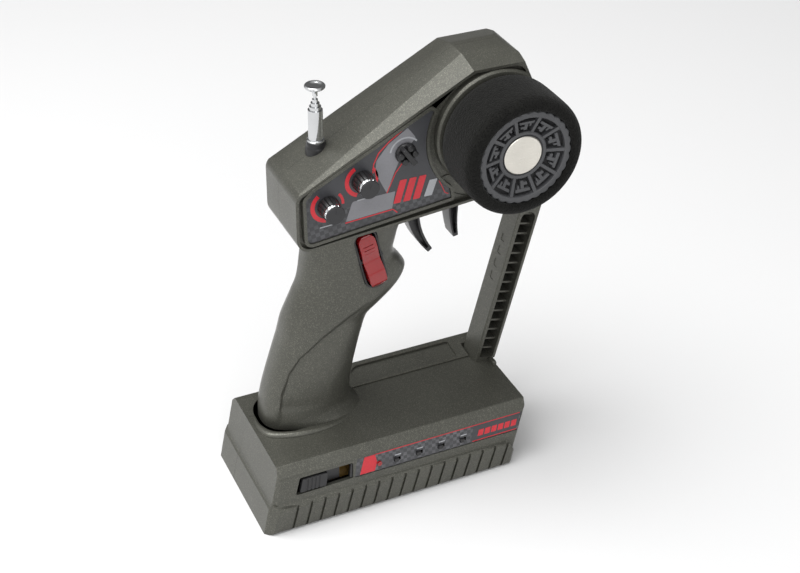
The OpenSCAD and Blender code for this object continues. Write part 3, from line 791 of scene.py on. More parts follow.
@dataclass
class ControlStrip:
    """The strip along the near wall: printed film, switch slider, lamp and small levers."""

    base: BaseCasing

    def film(self, name: str, corners: Sequence[Corner], finish: str, lift: float) -> None:
        """Publishes one printed area of the strip."""
        bm = self.base.on_wall(plate(Axis.Y, corners, 0.5 - lift, 0.62 - lift, 3))
        publish(bm, name, "casing", finish, (), 0.0)

    def build(self) -> None:
        """Publishes the strip's pieces."""
        b = self.base
        backing = b.on_wall(plate(Axis.Y, b.strip_outline(-25.4, 25.6, 38.9, 0.15), 0.45, 0.85, 3))
        levers = [brick((x - 2.3, -50, 28.9), (x + 2.3, -36, 31.5)) for x in b.slots]
        led = drum(Axis.Y, Vector((-9, 0, 31)), 1.55, -50, -30, 24)
        publish(shaped(backing, gathered(levers + [led])), "control_strip", "casing",
                "strip_checks", ["base_label"], 0.0)
        lean = b.slope
        self.film("strip_red_patch", [(-21.8, 26.2, 0.3), (-12.0, 26.2, 0.3), (-10.4, 32.4, 0.3), (-11.6, 38.3, 0.3),
                                      (-18.6, 38.3, 0.3)], "printed_red", 0.14)
        self.film("strip_red_line", [(-12, 37.9, 0), (86.9, 37.9, 0), (87, 38.5, 0), (-12, 38.5, 0)], "printed_red", 0.14)
        self.film("strip_low_line", [(54, 26.1, 0), (84.6, 26.1, 0), (84.8, 26.7, 0), (54, 26.7, 0)], "printed_red", 0.14)
        self.film("strip_dark_end", [(52.5, 26.9, 0.3), (84.9, 26.9, 0.3), (86.8, 37.7, 0.3), (55, 37.7, 0.3)],
                  "printed_dark", 0.10)
        for i in range(6):
            x = 57.5 + i * 4.6
            self.film(f"strip_mark_{i + 1}", [(x, 29.4, 0.2), (x + 3.6, 29.4, 0.2), (x + 3.6 + 4.4 * lean, 33.9, 0.2),
                                              (x + 4.4 * lean, 33.9, 0.2)], "printed_red", 0.16)
        for i, x in enumerate(b.slots):
            self.film(f"slot_tick_{i + 1}", [(x - 1.8, 33.0, 0.2), (x + 2.4, 33.0, 0.2), (x + 2.6, 33.7, 0.2),
                                             (x - 1.6, 33.7, 0.2)], "printed_silver", 0.14)
        low, high = datum("power_slider")
        cover = b.on_wall(plate(Axis.Y, [(low.x, 26.9, 0.8), (high.x - 1, 26.9, 0.8), (high.x + 0.4, 36.0, 0.8),
                                         (low.x + 2.2, 36.0, 0.8)], -0.9, 1.9, 3))
        ribs = gathered([b.on_wall(plate(Axis.Y, [(low.x + 4 + i * 2.5, 26, 0), (low.x + 4.9 + i * 2.5, 26, 0),
                                                  (low.x + 6.1 + i * 2.5, 37, 0), (low.x + 5.2 + i * 2.5, 37, 0)],
                                            -2, -0.4)) for i in range(4)])
        stem = brick((low.x + 6, -41.2, 29.8), (low.x + 14, high.y, 32.9))
        publish(gathered([shaped(cover, ribs), stem]), "switch_slider", "power_slider",
                "black_satin_plastic", ["power_slider"], 0.35)
        guard = b.on_wall(plate(Axis.Y, [(-28.6, 26.6, 0.4), (-26.7, 26.6, 0.4), (-26.6, 36.6, 0.4), (-27.6, 36.6, 0.4)],
                                0.2, 2.5, 3))
        publish(guard, "switch_stop", "casing", "black_satin_plastic", (), 0.2)


# ---------------------------------------------------------------- grip


@dataclass
class Grip:
    """Leaning pistol grip with a palm swell, finger hook and flared foot."""

    middle_y: float = 11.5
    seam: float = 15.0
    rows: tuple[tuple[float, ...], ...] = (
        (44.2, -65.2, -0.6, 23.6), (48, -65.0, -4.0, 21.0), (52, -64.8, -6.6, 19.4), (58, -64.0, -7.5, 18.7),
        (68, -61.6, -6.8, 18.6), (86, -56, -3.2, 19), (101, -51.2, 0.8, 19.4), (111, -48.6, 5, 19.2),
        (118, -46, 13.5, 18.6), (128, -42, 25.5, 17.6), (136, -38.6, 29.4, 17), (142, -37, 26.6, 16.8),
        (149, -35.8, 21.4, 17), (159, -34.4, 22.6, 18), (168, -34.2, 25.0, 18.9), (176, -34.6, 29, 20.0))
    crease: tuple[Point2, ...] = ((-4.2, 123.3), (-15.7, 117.3), (-31.7, 107.5), (-44.6, 95.3), (-51.3, 84.0),
                                  (-56.2, 69.0), (-58.8, 50.7))

    def row_at(self, z: float) -> tuple[float, float, float]:
        """Rear X, front X and half width at a height, on a smooth curve through the rows."""
        rows = self.rows
        k = max(0, min(len(rows) - 2, sum(1 for r in rows if r[0] <= z) - 1))
        p0, p1, p2, p3 = rows[max(k - 1, 0)], rows[k], rows[k + 1], rows[min(k + 2, len(rows) - 1)]
        t = (z - p1[0]) / (p2[0] - p1[0])
        values = []
        for j in (1, 2, 3):
            span = p2[0] - p1[0]
            m1 = (p2[j] - p0[j]) / max(p2[0] - p0[0], 1e-6) * span
            m2 = (p3[j] - p1[j]) / max(p3[0] - p1[0], 1e-6) * span
            values.append((2 * t ** 3 - 3 * t ** 2 + 1) * p1[j] + (t ** 3 - 2 * t ** 2 + t) * m1
                          + (-2 * t ** 3 + 3 * t ** 2) * p2[j] + (t ** 3 - t ** 2) * m2)
        return values[0], values[1], values[2]

    def past_crease(self, x: float, z: float) -> float:
        """Signed distance below and in front of the crease; negative behind it."""
        best, sign = 1e9, 1.0
        for (x0, z0), (x1, z1) in zip(self.crease, self.crease[1:]):
            d = Vector((x1 - x0, z1 - z0))
            p = Vector((x - x0, z - z0))
            t = max(0.0, min(1.0, p.dot(d) / d.length_squared))
            gap = (p - d * t)
            if gap.length < best:
                best = gap.length
                sign = 1.0 if d.x * p.y - d.y * p.x > 0 else -1.0
        return best * sign

    def surface(self, u: float, v: float, thin: float = 0.0) -> Vector:
        """Point of the grip's skin.

        Args:
            u: share round, from the front.
            v: share upwards.
            thin: distance inside the skin.

        Returns:
            The point, in millimetres.
        """
        z = 44.2 + v * (176 - 44.2)
        rear, front, half = self.row_at(z)
        ahead = min(1.0, max(0.0, (math.cos(math.tau * u) + 0.45) / 0.9))
        half = min(half, 18.8) + max(half - 18.8, 0.0) * ahead
        rear, front, half = rear + thin, front - thin, half - thin
        t = math.tau * u
        c, s = math.cos(t), math.sin(t)
        peak = rear + (front - rear) * 0.44
        hook = max(0.0, 1 - abs(z - 134) / 14)
        power = 2 / (2.25 - 0.35 * hook) if c > 0 else 2 / 2.5
        reach = (front - peak) if c > 0 else (peak - rear)
        x = peak + reach * math.copysign(abs(c) ** power, c)
        y = half * math.copysign(abs(s) ** (2 / 2.45), s)
        gap = self.past_crease(x, z)
        if thin == 0 and gap > 0 and z < 128:
            fade = max(0.0, 1 - gap / 30)
            foot = min(1.0, max(0.0, (z - 48) / 12))
            ends = min(1.0, max(0.0, (124 - z) / 12))
            dip = 2.3 * min(1.0, gap / 2.0) * fade * foot * ends * min(1.0, abs(s) * 1.6)
            y -= math.copysign(min(dip, abs(y)), y)
        return Vector((x, self.middle_y + y, z))

    def build(self) -> None:
        """Publishes both halves of the grip."""
        skin = wrapped(120, 110, lambda u, v: self.surface(u, v))
        hollow = wrapped(48, 40, lambda u, v: self.surface(u, v * 1.02 - 0.01, 2.4))
        place = RockerSwitch.place()
        bay = moved(plate(Axis.Y, [(-7.5, -20.7, 6.8), (7.5, -20.7, 6.8), (7.5, 20.7, 5.2), (-7.5, 20.7, 5.2)], -12, 6.2, 8),
                    place)
        arm = brick((12, 5.1, 150), (42, 17.9, 190))
        body = shaped(skin, hollow, bay, arm)
        top = datum("head_shell_right")[0].z
        for side in Side:
            edge = self.seam + side.value * 0.07
            keep = brick((-200, edge, 40), (200, 90, top + 6)) if side is Side.LEFT else brick(
                (-200, -90, 40), (200, edge, top + 6))
            half = shaped(body.copy(), keep, how="INTERSECT")
            name = side.name.lower()
            publish(half, f"grip_moulding_{name}", "casing", "case_flake_plastic",
                    [f"grip_shell_{name}"], 0.0, 38)
        body.free()

    def crescent(self) -> None:
        """Publishes the rounded lip that sweeps round the near side of the grip's foot."""
        inner = [(-67.9, 15), (-67.2, 4), (-61.9, -5.4), (-51, -9.9), (-38, -11.4), (-24, -9.4), (-11, -3.4), (-3, 3)]
        outer = [(-68.4, 15), (-70.8, 2.5), (-67.2, -8.5), (-54.5, -14.4), (-38, -16.2), (-22, -13.4), (-9, -5.6), (-1.8, 2.6)]

        def along(points: Sequence[Point2], share: float) -> Vector:
            """Point at a share of the way through points, on a smooth curve."""
            k = min(int(share * (len(points) - 1)), len(points) - 2)
            t = share * (len(points) - 1) - k
            a, b, c, d = (Vector(points[min(max(k + i, 0), len(points) - 1)]) for i in (-1, 0, 1, 2))
            return (b * 2 + (c - a) * t + (a * 2 - b * 5 + c * 4 - d) * t * t
                    + (b * 3 - a - c * 3 + d) * t ** 3) / 2

        def shape(u: float, v: float) -> Vector:
            """Oval ring between the two edges."""
            a, b = along(inner, v), along(outer, v)
            core, half = (a + b) / 2, (b - a) / 2
            t = math.tau * u
            rise = (0.4 + 2.3 * math.sin(math.pi * min(1.0, v * 1.25)) ** 0.8) if v < 0.8 else 0.4
            flat = core + half * math.cos(t)
            return Vector((flat.x, flat.y, 45.3 + math.sin(t) * rise))

        publish(wrapped(24, 70, shape), "grip_crescent", "casing", "case_flake_plastic", (), 0.0, 60)


@dataclass
class RockerSwitch:
    """Red two-faced rocker in a dark bay on the grip."""

    @staticmethod
    def place() -> Matrix:
        """Matrix from the rocker's own axes to the frame."""
        pin = middle("rocker_pin")
        return Matrix.Translation(pin) @ Matrix.Rotation(math.radians(-14), 4, "Y")

    def build(self) -> None:
        """Publishes the bay and the rocker."""
        bay = plate(Axis.Y, [(-7.3, -20.4, 6.6), (7.3, -20.4, 6.6), (7.3, 20.4, 5), (-7.3, 20.4, 5)], -1.9, 6, 8)
        room = plate(Axis.Y, [(-6.1, -19.3, 5.6), (6.1, -19.3, 5.6), (6.1, 19.3, 4), (-6.1, 19.3, 4)], -10, 4.8, 8)
        publish(moved(shaped(bay, room), self.place()), "rocker_bay", "casing",
                "black_satin_plastic", ["rocker_housing"], 0.25)
        outline = plate(Axis.Y, [(-5.3, -18.6, 5.2), (5.3, -18.6, 5.2), (5.1, 18.6, 4.4), (-5.1, 18.6, 4.4)], -6.6, 4.4, 8)
        profile = plate(Axis.X, [(3.9, -4.5, 2), (1.2, -19, 1.5), (-2.6, -19, 2.5), (-5.9, -15, 4), (-6.1, -7, 4),
                                 (-2.4, 0.4, 3), (-4.4, 9, 9), (-3.6, 19, 2), (1.2, 19, 1.5), (3.9, 4.5, 2)], -8, 8, 8)
        bore = drum(Axis.X, Vector((0, 0, 0)), 1.35, -12, 12, 32)
        ridges = gathered([brick((-3.2, -7, z), (3.2, -3.7, z + 0.5)) for z in (6.5, 9, 11.5)])
        button = shaped(outline, profile, how="INTERSECT")
        button = shaped(eased(button, 0.8, 3, 35), bore, ridges)
        publish(moved(button, self.place()), "rocker", "rocker", "red_gloss_plastic",
                ["rocker_button"], 0.15)


# ---------------------------------------------------------------- head


@dataclass
class Head:
    """Slanted head with a crowned roof, a recessed near side and the control panel."""

    half: float = 23.2
    top: float = 264.8
    crown: float = 3.9
    rear_crown: float = 0.4
    rear_x: float = -46.3
    rear_top: float = 208.7
    low: float = 172.0
    crest_x: float = 59.9
    brow_x: float = 91.5
    nose: Point2 = (127.0, 187.0)
    lip: float = 1.7
    sink: float = 3.0
    well: float = 3.6
    panel: tuple[Corner, ...] = ((-41.2, 206.7, 3), (-40.6, 176.6, 4), (49.3, 186.6, 0.8), (49.3, 188.2, 0),
                                 (37.8, 244.2, 0), (34.8, 247.4, 2), (-36.2, 211.4, 4))

    def __post_init__(self) -> None:
        """Takes places from the frame."""
        low, high = datum("head_shell_right")
        self.near = low.y
        self.far = datum("head_shell_left")[1].y
        self.middle_y = (self.near + self.far) / 2
        self.seam = datum("head_shell_left")[0].y
        self.axle = middle("wheel_shaft")
        self.knobs = [middle("trim_knob_rear"), middle("trim_knob_mid"), middle("rate_knob")]

    def sides(self) -> list[Corner]:
        """Outline of the side faces."""
        return [(self.rear_x, self.low, 9), (*self.nose, 8), (self.brow_x, self.top, 9),
                (self.crest_x, self.top, 6), (self.rear_x, self.rear_top, 7)]

    def block(self) -> bmesh.types.BMesh:
        """Solid outer form."""
        crest, brow = self.top + self.crown, self.brow_x + 1
        bm = plate(Axis.Y, [(self.rear_x, self.low, 9), (*self.nose, 8), (brow, crest, 9),
                            (self.crest_x, crest, 3), (self.rear_x, self.rear_top + self.rear_crown, 7)],
                   self.near, self.far, 10)
        for hand in (-1, 1):
            edge = self.middle_y + hand * self.half
            ridge = self.middle_y + hand * 7.5
            planes = [
                ((self.rear_x, edge, self.rear_top), (self.crest_x, edge, self.top), (self.crest_x, ridge, crest)),
                ((self.crest_x, edge, self.top), (self.brow_x, edge, self.top), (self.crest_x, ridge, crest)),
                ((self.brow_x, edge, self.top), (self.nose[0], edge, self.nose[1]), (brow, ridge, crest))]
            for a, b, c in planes:
                a, b, c = Vector(a), Vector(b), Vector(c)
                out = (b - a).cross(c - a).normalized()
                out = out if out.y * hand > 0 else -out
                sliced(bm, a, out)
        bmesh.ops.dissolve_limit(bm, angle_limit=math.radians(0.5), verts=bm.verts[:], edges=bm.edges[:])
        return eased(bm, 2.2, 4, 17)

    def build(self) -> None:
        """Publishes both halves of the head."""
        field_face = inset(self.sides(), self.lip)
        near_field = plate(Axis.Y, field_face, self.near - 2, self.near + self.sink, 8)
        hollow = plate(Axis.Y, inset(self.sides(), 2.6), self.near + self.well + 1.6, self.far - 2.4)
        solid = shaped(self.block(), hollow, near_field, self.wheel_well())
        spine = drum(Axis.Y, self.axle * 1, 5.0, -60, 5)
        tools = [spine]
        for knob in self.knobs:
            tools.append(drum(Axis.Y, Vector((knob.x, 0, knob.z)), 3.4, -30, 2))
        tube = middle("aerial_tube")
        tools.append(drum(Axis.Z, Vector((tube.x, tube.y, 0)), 5.45, 160, 240))
        tools.append(brick((22, 5.1, 160), (72, 17.9, 190)))
        solid = shaped(solid, *tools)
        for side in Side:
            edge = self.seam + side.value * 0.07
            keep = brick((-200, edge, 140), (200, 90, 300)) if side is Side.LEFT else brick(
                (-200, -90, 140), (200, edge, 300))
            half = shaped(solid.copy(), keep, how="INTERSECT")
            name = side.name.lower()
            publish(half, f"head_moulding_{name}", "casing", "case_flake_plastic",
                    [f"head_shell_{name}"], 0.3, 24)
        solid.free()
        self.rim_of_panel()
        self.collar()
        self.pin_pillars()

    def wheel_well(self) -> bmesh.types.BMesh:
        """Cutter of the deeper recess round the collar, clear of the panel."""
        room = shaped(self.arc_tool(44.5), plate(Axis.Y, inset(self.sides(), self.lip), self.near - 9,
                                               self.near + self.well, 8), how="INTERSECT")
        backing = shaped(plate(Axis.Y, inset(self.panel, -1.1), self.near - 20, self.near + 20, 6), self.arc_tool(40.8))
        return shaped(room, backing)

    def arc_tool(self, radius: float) -> bmesh.types.BMesh:
        """Cylinder round the wheel's axle."""
        return drum(Axis.Y, Vector((self.axle.x, 0, self.axle.z)), radius, self.near - 12, self.near + 12, 128)

    def rim_of_panel(self) -> None:
        """Publishes the raised frame round the panel and the printed plate in it."""
        floor = self.near + self.sink
        frame_plate = shaped(plate(Axis.Y, inset(self.panel, -1.2), self.near - 0.5, floor + 0.4, 6),
                             self.arc_tool(40.8))
        well = shaped(plate(Axis.Y, inset(self.panel, 0.7), self.near - 4, self.near + 0.75, 6), self.arc_tool(42.4))
        holes = gathered([drum(Axis.Y, Vector((k.x, 0, k.z)), 3.4, -30, 2) for k in self.knobs])
        publish(shaped(frame_plate, well, holes), "panel_frame", "casing", "case_flake_plastic", (), 0.3, 30)
        film = shaped(plate(Axis.Y, inset(self.panel, 0.9), self.near + 0.35, self.near + 0.74, 6), self.arc_tool(42.6),
                      gathered([drum(Axis.Y, Vector((k.x, 0, k.z)), 3.4, -30, 2) for k in self.knobs]))
        publish(film, "panel_film", "casing", "panel_checks", ["control_panel"], 0.0)

    def collar(self) -> None:
        """Publishes the stepped collar behind the wheel."""
        y = self.near
        centre = Vector((self.axle.x, 0, self.axle.z))
        ring = turned(Axis.Y, centre, [(5.2, y + 3), (5.2, y - 2.1), (33.4, y - 2.1), (35.4, y - 1.7), (36.4, y - 0.4),
                                       (36.4, y + self.well + 0.3), (34.8, y + self.well + 0.3),
                                       (34.8, y + 3), (5.2, y + 3)], 128)
        keep = plate(Axis.Y, inset(self.sides(), 1.2), y - 8, y + 8, 8)
        publish(shaped(ring, keep, how="INTERSECT"), "wheel_collar_ring", "casing", "case_flake_plastic",
                ["wheel_collar"], 0.3, 30)

    def pin_pillars(self) -> None:
        """Publishes the pillars that hold the trigger's pin."""
        pin = middle("trigger_pin")
        low, high = datum("trigger_pin")
        pillars = [turned(Axis.Y, Vector((pin.x, 0, pin.z)), [(0, a), (5, a), (5, b), (2, b), (2, c), (0, c)], 40)
                   for a, b, c in ((self.near + 3, self.middle_y - 7.4, low.y), (self.far - 2, self.middle_y + 7.4, high.y))]
        publish(gathered(pillars), "trigger_pin_pillars", "casing", "case_flake_plastic", (), 0.3)


@dataclass
class PanelPrint:
    """Generic printed areas of the panel: sweeps, lines, dial arcs and marks."""

    head: Head
    lift: float = 0.06

    def area(self, name: str, corners: Sequence[Corner], finish: str, layer: int = 1) -> None:
        """Publishes one printed area, trimmed to the panel.

        Args:
            name: name of the piece.
            corners: outline.
            finish: finish of the ink.
            layer: how many films lie under it, from 1.
        """
        y = self.head.near + 0.35
        bm = plate(Axis.Y, corners, y - self.lift * layer, y - self.lift * (layer - 1), 3)
        keep = plate(Axis.Y, inset(self.head.panel, 1.3), -40, 10, 6)
        bm = shaped(bm, keep, how="INTERSECT")
        holes = gathered([drum(Axis.Y, Vector((k.x, 0, k.z)), 3.5, -30, 2) for k in self.head.knobs])
        publish(shaped(bm, self.head.arc_tool(42.8), holes), name, "casing", finish, (), 0.0)

    def arc(self, name: str, knob: Vector, inner: float, outer: float, start: float, end: float,
            finish: str, layer: int = 2) -> None:
        """Publishes part of a ring round a knob, between two angles from +X."""
        steps = 14
        ring = []
        for radius, order in ((outer, range(steps + 1)), (inner, range(steps, -1, -1))):
            for i in order:
                bend = math.radians(start + (end - start) * i / steps)
                ring.append((knob.x + radius * math.cos(bend), knob.z + radius * math.sin(bend), 0.0))
        self.area(name, ring, finish, layer)

    def stroke(self, name: str, points: Sequence[Point2], width: float, finish: str, layer: int = 2) -> None:
        """Publishes a line of constant width through points."""
        left, right = [], []
        for i, point in enumerate(points):
            a, b = Vector(points[max(i - 1, 0)]), Vector(points[min(i + 1, len(points) - 1)])
            d = (b - a).normalized() * width / 2
            left.append((point[0] - d.y, point[1] + d.x, 0.0))
            right.append((point[0] + d.y, point[1] - d.x, 0.0))
        self.area(name, left + right[::-1], finish, layer)

    def build(self) -> None:
        """Publishes every printed area."""
        rear, mid, rate = self.head.knobs
        self.area("print_field", [(-39, 190, 1), (-20, 196, 0), (60, 196, 0), (40, 246, 0), (34, 246, 1), (-37, 209, 1)],
                  "printed_dark", 1)
        self.area("print_low_sweep", [(-16.8, 186.8, 0.4), (11.5, 188.8, 0.4), (13.4, 199.6, 0.4), (-12.8, 199.0, 2)],
                  "printed_grey", 2)
        self.area("print_high_sweep", [(8.2, 199.6, 0.4), (1.2, 214, 3), (1.6, 221.5, 4), (9, 230.5, 4), (20.5, 238.2, 0.6),
                                       (25.5, 231.2, 1), (16.6, 221, 5), (12.6, 212, 3)], "printed_grey", 2)
        self.stroke("print_high_line", [(-0.4, 214.4), (0.1, 220), (3.0, 226.2), (9.2, 231.9), (20.2, 239.4)], 0.7,
                    "printed_red", 3)
        self.stroke("print_fall_line", [(8.2, 199.6), (13.4, 211.6), (19.6, 219.4)], 0.6, "printed_red", 3)
        self.stroke("print_low_line", [(-17.2, 186.2), (12.0, 188.2), (14.8, 185.4)], 0.7, "printed_red", 3)
        self.stroke("print_front_line", [(40.2, 201.2), (44.6, 191.4), (46.8, 190.2)], 0.5, "printed_red", 3)
        self.arc("print_dial_rear", rear, 7.9, 10.4, 128, 262, "printed_red")
        self.arc("print_dial_rear_tip", rear, 8.2, 9.8, -4, 42, "printed_red")
        self.arc("print_dial_mid", mid, 7.9, 10.4, 118, 250, "printed_red")
        self.arc("print_dial_mid_tip", mid, 8.2, 9.8, -18, 44, "printed_red")
        self.arc("print_dial_rate", rate, 8.6, 9.6, 40, 170, "printed_silver", 3)
        for i, (x, z) in enumerate(((12.2, 196.4), (18.2, 196.4), (24.2, 196.4))):
            self.area(f"print_mark_{i + 1}", [(x, z - 4.8, 0.5), (x + 4.4, z - 4.8, 0.5), (x + 8.4, z + 9.6, 0.5),
                                              (x + 4.0, z + 9.6, 0.5)], "printed_red", 3)
        self.area("print_mark_end", [(31.2, 191.8, 0.5), (36.2, 191.8, 0.5), (39.6, 202, 0.5), (34.6, 202, 0.5)],
                  "printed_silver", 3)
        self.area("print_tick_rear", [(rear.x - 5, rear.z - 13.4, 0), (rear.x + 5, rear.z - 12.8, 0),
                                      (rear.x + 5, rear.z - 12.1, 0), (rear.x - 5, rear.z - 12.7, 0)],
                  "printed_silver", 3)
        self.area("print_tick_mid", [(mid.x - 3, mid.z - 12.6, 0), (mid.x + 6, mid.z - 12.0, 0),
                                     (mid.x + 6, mid.z - 11.3, 0), (mid.x - 3, mid.z - 11.9, 0)], "printed_silver", 3)


@dataclass
class TrimKnob:
    """Fluted chrome knob with a flat dark cap."""

    name: str
    body: str
    node: str
    cap_node: str

    def build(self) -> None:
        """Publishes the knob and its cap."""
        low, high = datum(self.node)
        centre = middle(self.node)
        face = datum(self.cap_node)[0].y
        shoulder = face + 1.9
        foot = datum("head_shell_right")[0].y - 0.1
        radius = (high.x - low.x) / 2

        def fluted(levels: Sequence[Point2], depth: float) -> bmesh.types.BMesh:
            """Lobed sleeve through levels (distance along the axis, radius)."""
            def skirt(u: float, v: float) -> Vector:
                """Point of the sleeve."""
                k = min(int(v * (len(levels) - 1) + 1e-6), len(levels) - 2)
                share = v * (len(levels) - 1) - k
                y, r = (levels[k][i] * (1 - share) + levels[k + 1][i] * share for i in (0, 1))
                r -= depth * (1 - min(1.0, abs(math.sin(math.tau * u * 8)) * 2.2))
                return Vector((centre.x + r * math.cos(math.tau * u), y, centre.z + r * math.sin(math.tau * u)))
            return wrapped(192, (len(levels) - 1) * 2, skirt)

        flutes = fluted([(foot, radius), (foot - 0.8, radius + 0.1), (shoulder + 2.2, radius - 0.35),
                         (shoulder + 1.6, radius - 0.7)], 0.7)
        stem = drum(Axis.Y, Vector((centre.x, 0, centre.z)), 3.0, foot - 0.5, high.y, 40)
        publish(gathered([flutes, stem]), f"{self.name}_skirt", self.body, "black_satin_plastic",
                [self.node], 0.0, 40)
        crown = fluted([(shoulder + 2.0, radius - 0.5), (shoulder + 1.2, radius - 0.45), (shoulder - 0.3, radius - 1.0),
                        (shoulder - 0.9, radius - 1.5)], 0.5)
        publish(crown, f"{self.name}_ring", self.body, "chrome", (), 0.0, 30)
        cap = turned(Axis.Y, Vector((centre.x, 0, centre.z)),
                     [(0, face + 1.4), (5.5, face + 1.4), (5.7, face + 0.7), (5.3, face + 0.25), (0, face + 0.2)], 72)
        line = brick((centre.x - 0.35, face - 0.5, centre.z + 1.2), (centre.x + 0.35, face + 0.42, centre.z + 4.0))
        publish(shaped(cap, line), f"{self.name}_cap", self.body, "knob_cap_plastic", [self.cap_node], 0.12)


@dataclass
class RateKnob:
    """Black pointer knob with a raised bar and side lobes."""

    turn: float = -35.0

    def build(self) -> None:
        """Publishes the knob."""
        low, high = datum("rate_knob")
        centre = middle("rate_knob")
        near = datum("head_shell_right")[0].y
        spin = Matrix.Translation((centre.x, 0, centre.z)) @ Matrix.Rotation(math.radians(self.turn), 4, "Y")
        disc = turned(Axis.Y, Vector((centre.x, 0, centre.z)),
                      [(0, near - 0.1), (6.3, near - 0.1), (6.3, near - 1.4), (5.6, near - 2.2), (0, near - 2.2)], 64)
        bar = moved(plate(Axis.Y, [(-1.7, -6.2, 0.8), (1.7, -6.2, 0.8), (1.2, 6.3, 0.6), (-1.2, 6.3, 0.6)],
                          low.y + 0.1, near - 1.5, 4), spin)
        lobes = gathered([moved(drum(Axis.Y, Vector((x, 0, z)), 1.9, near - 4.4, near - 1.6, 28), spin)
                          for x, z in ((-3.5, -2.4), (3.5, -2.4), (-3.4, 2.5), (3.4, 2.5))])
        stem = drum(Axis.Y, Vector((centre.x, 0, centre.z)), 3.0, near - 0.5, high.y, 40)
        publish(gathered([disc, bar, lobes, stem]), "pointer_knob", "rate_knob", "black_satin_plastic",
                ["rate_knob"], 0.25)


# ---------------------------------------------------------------- steering wheel


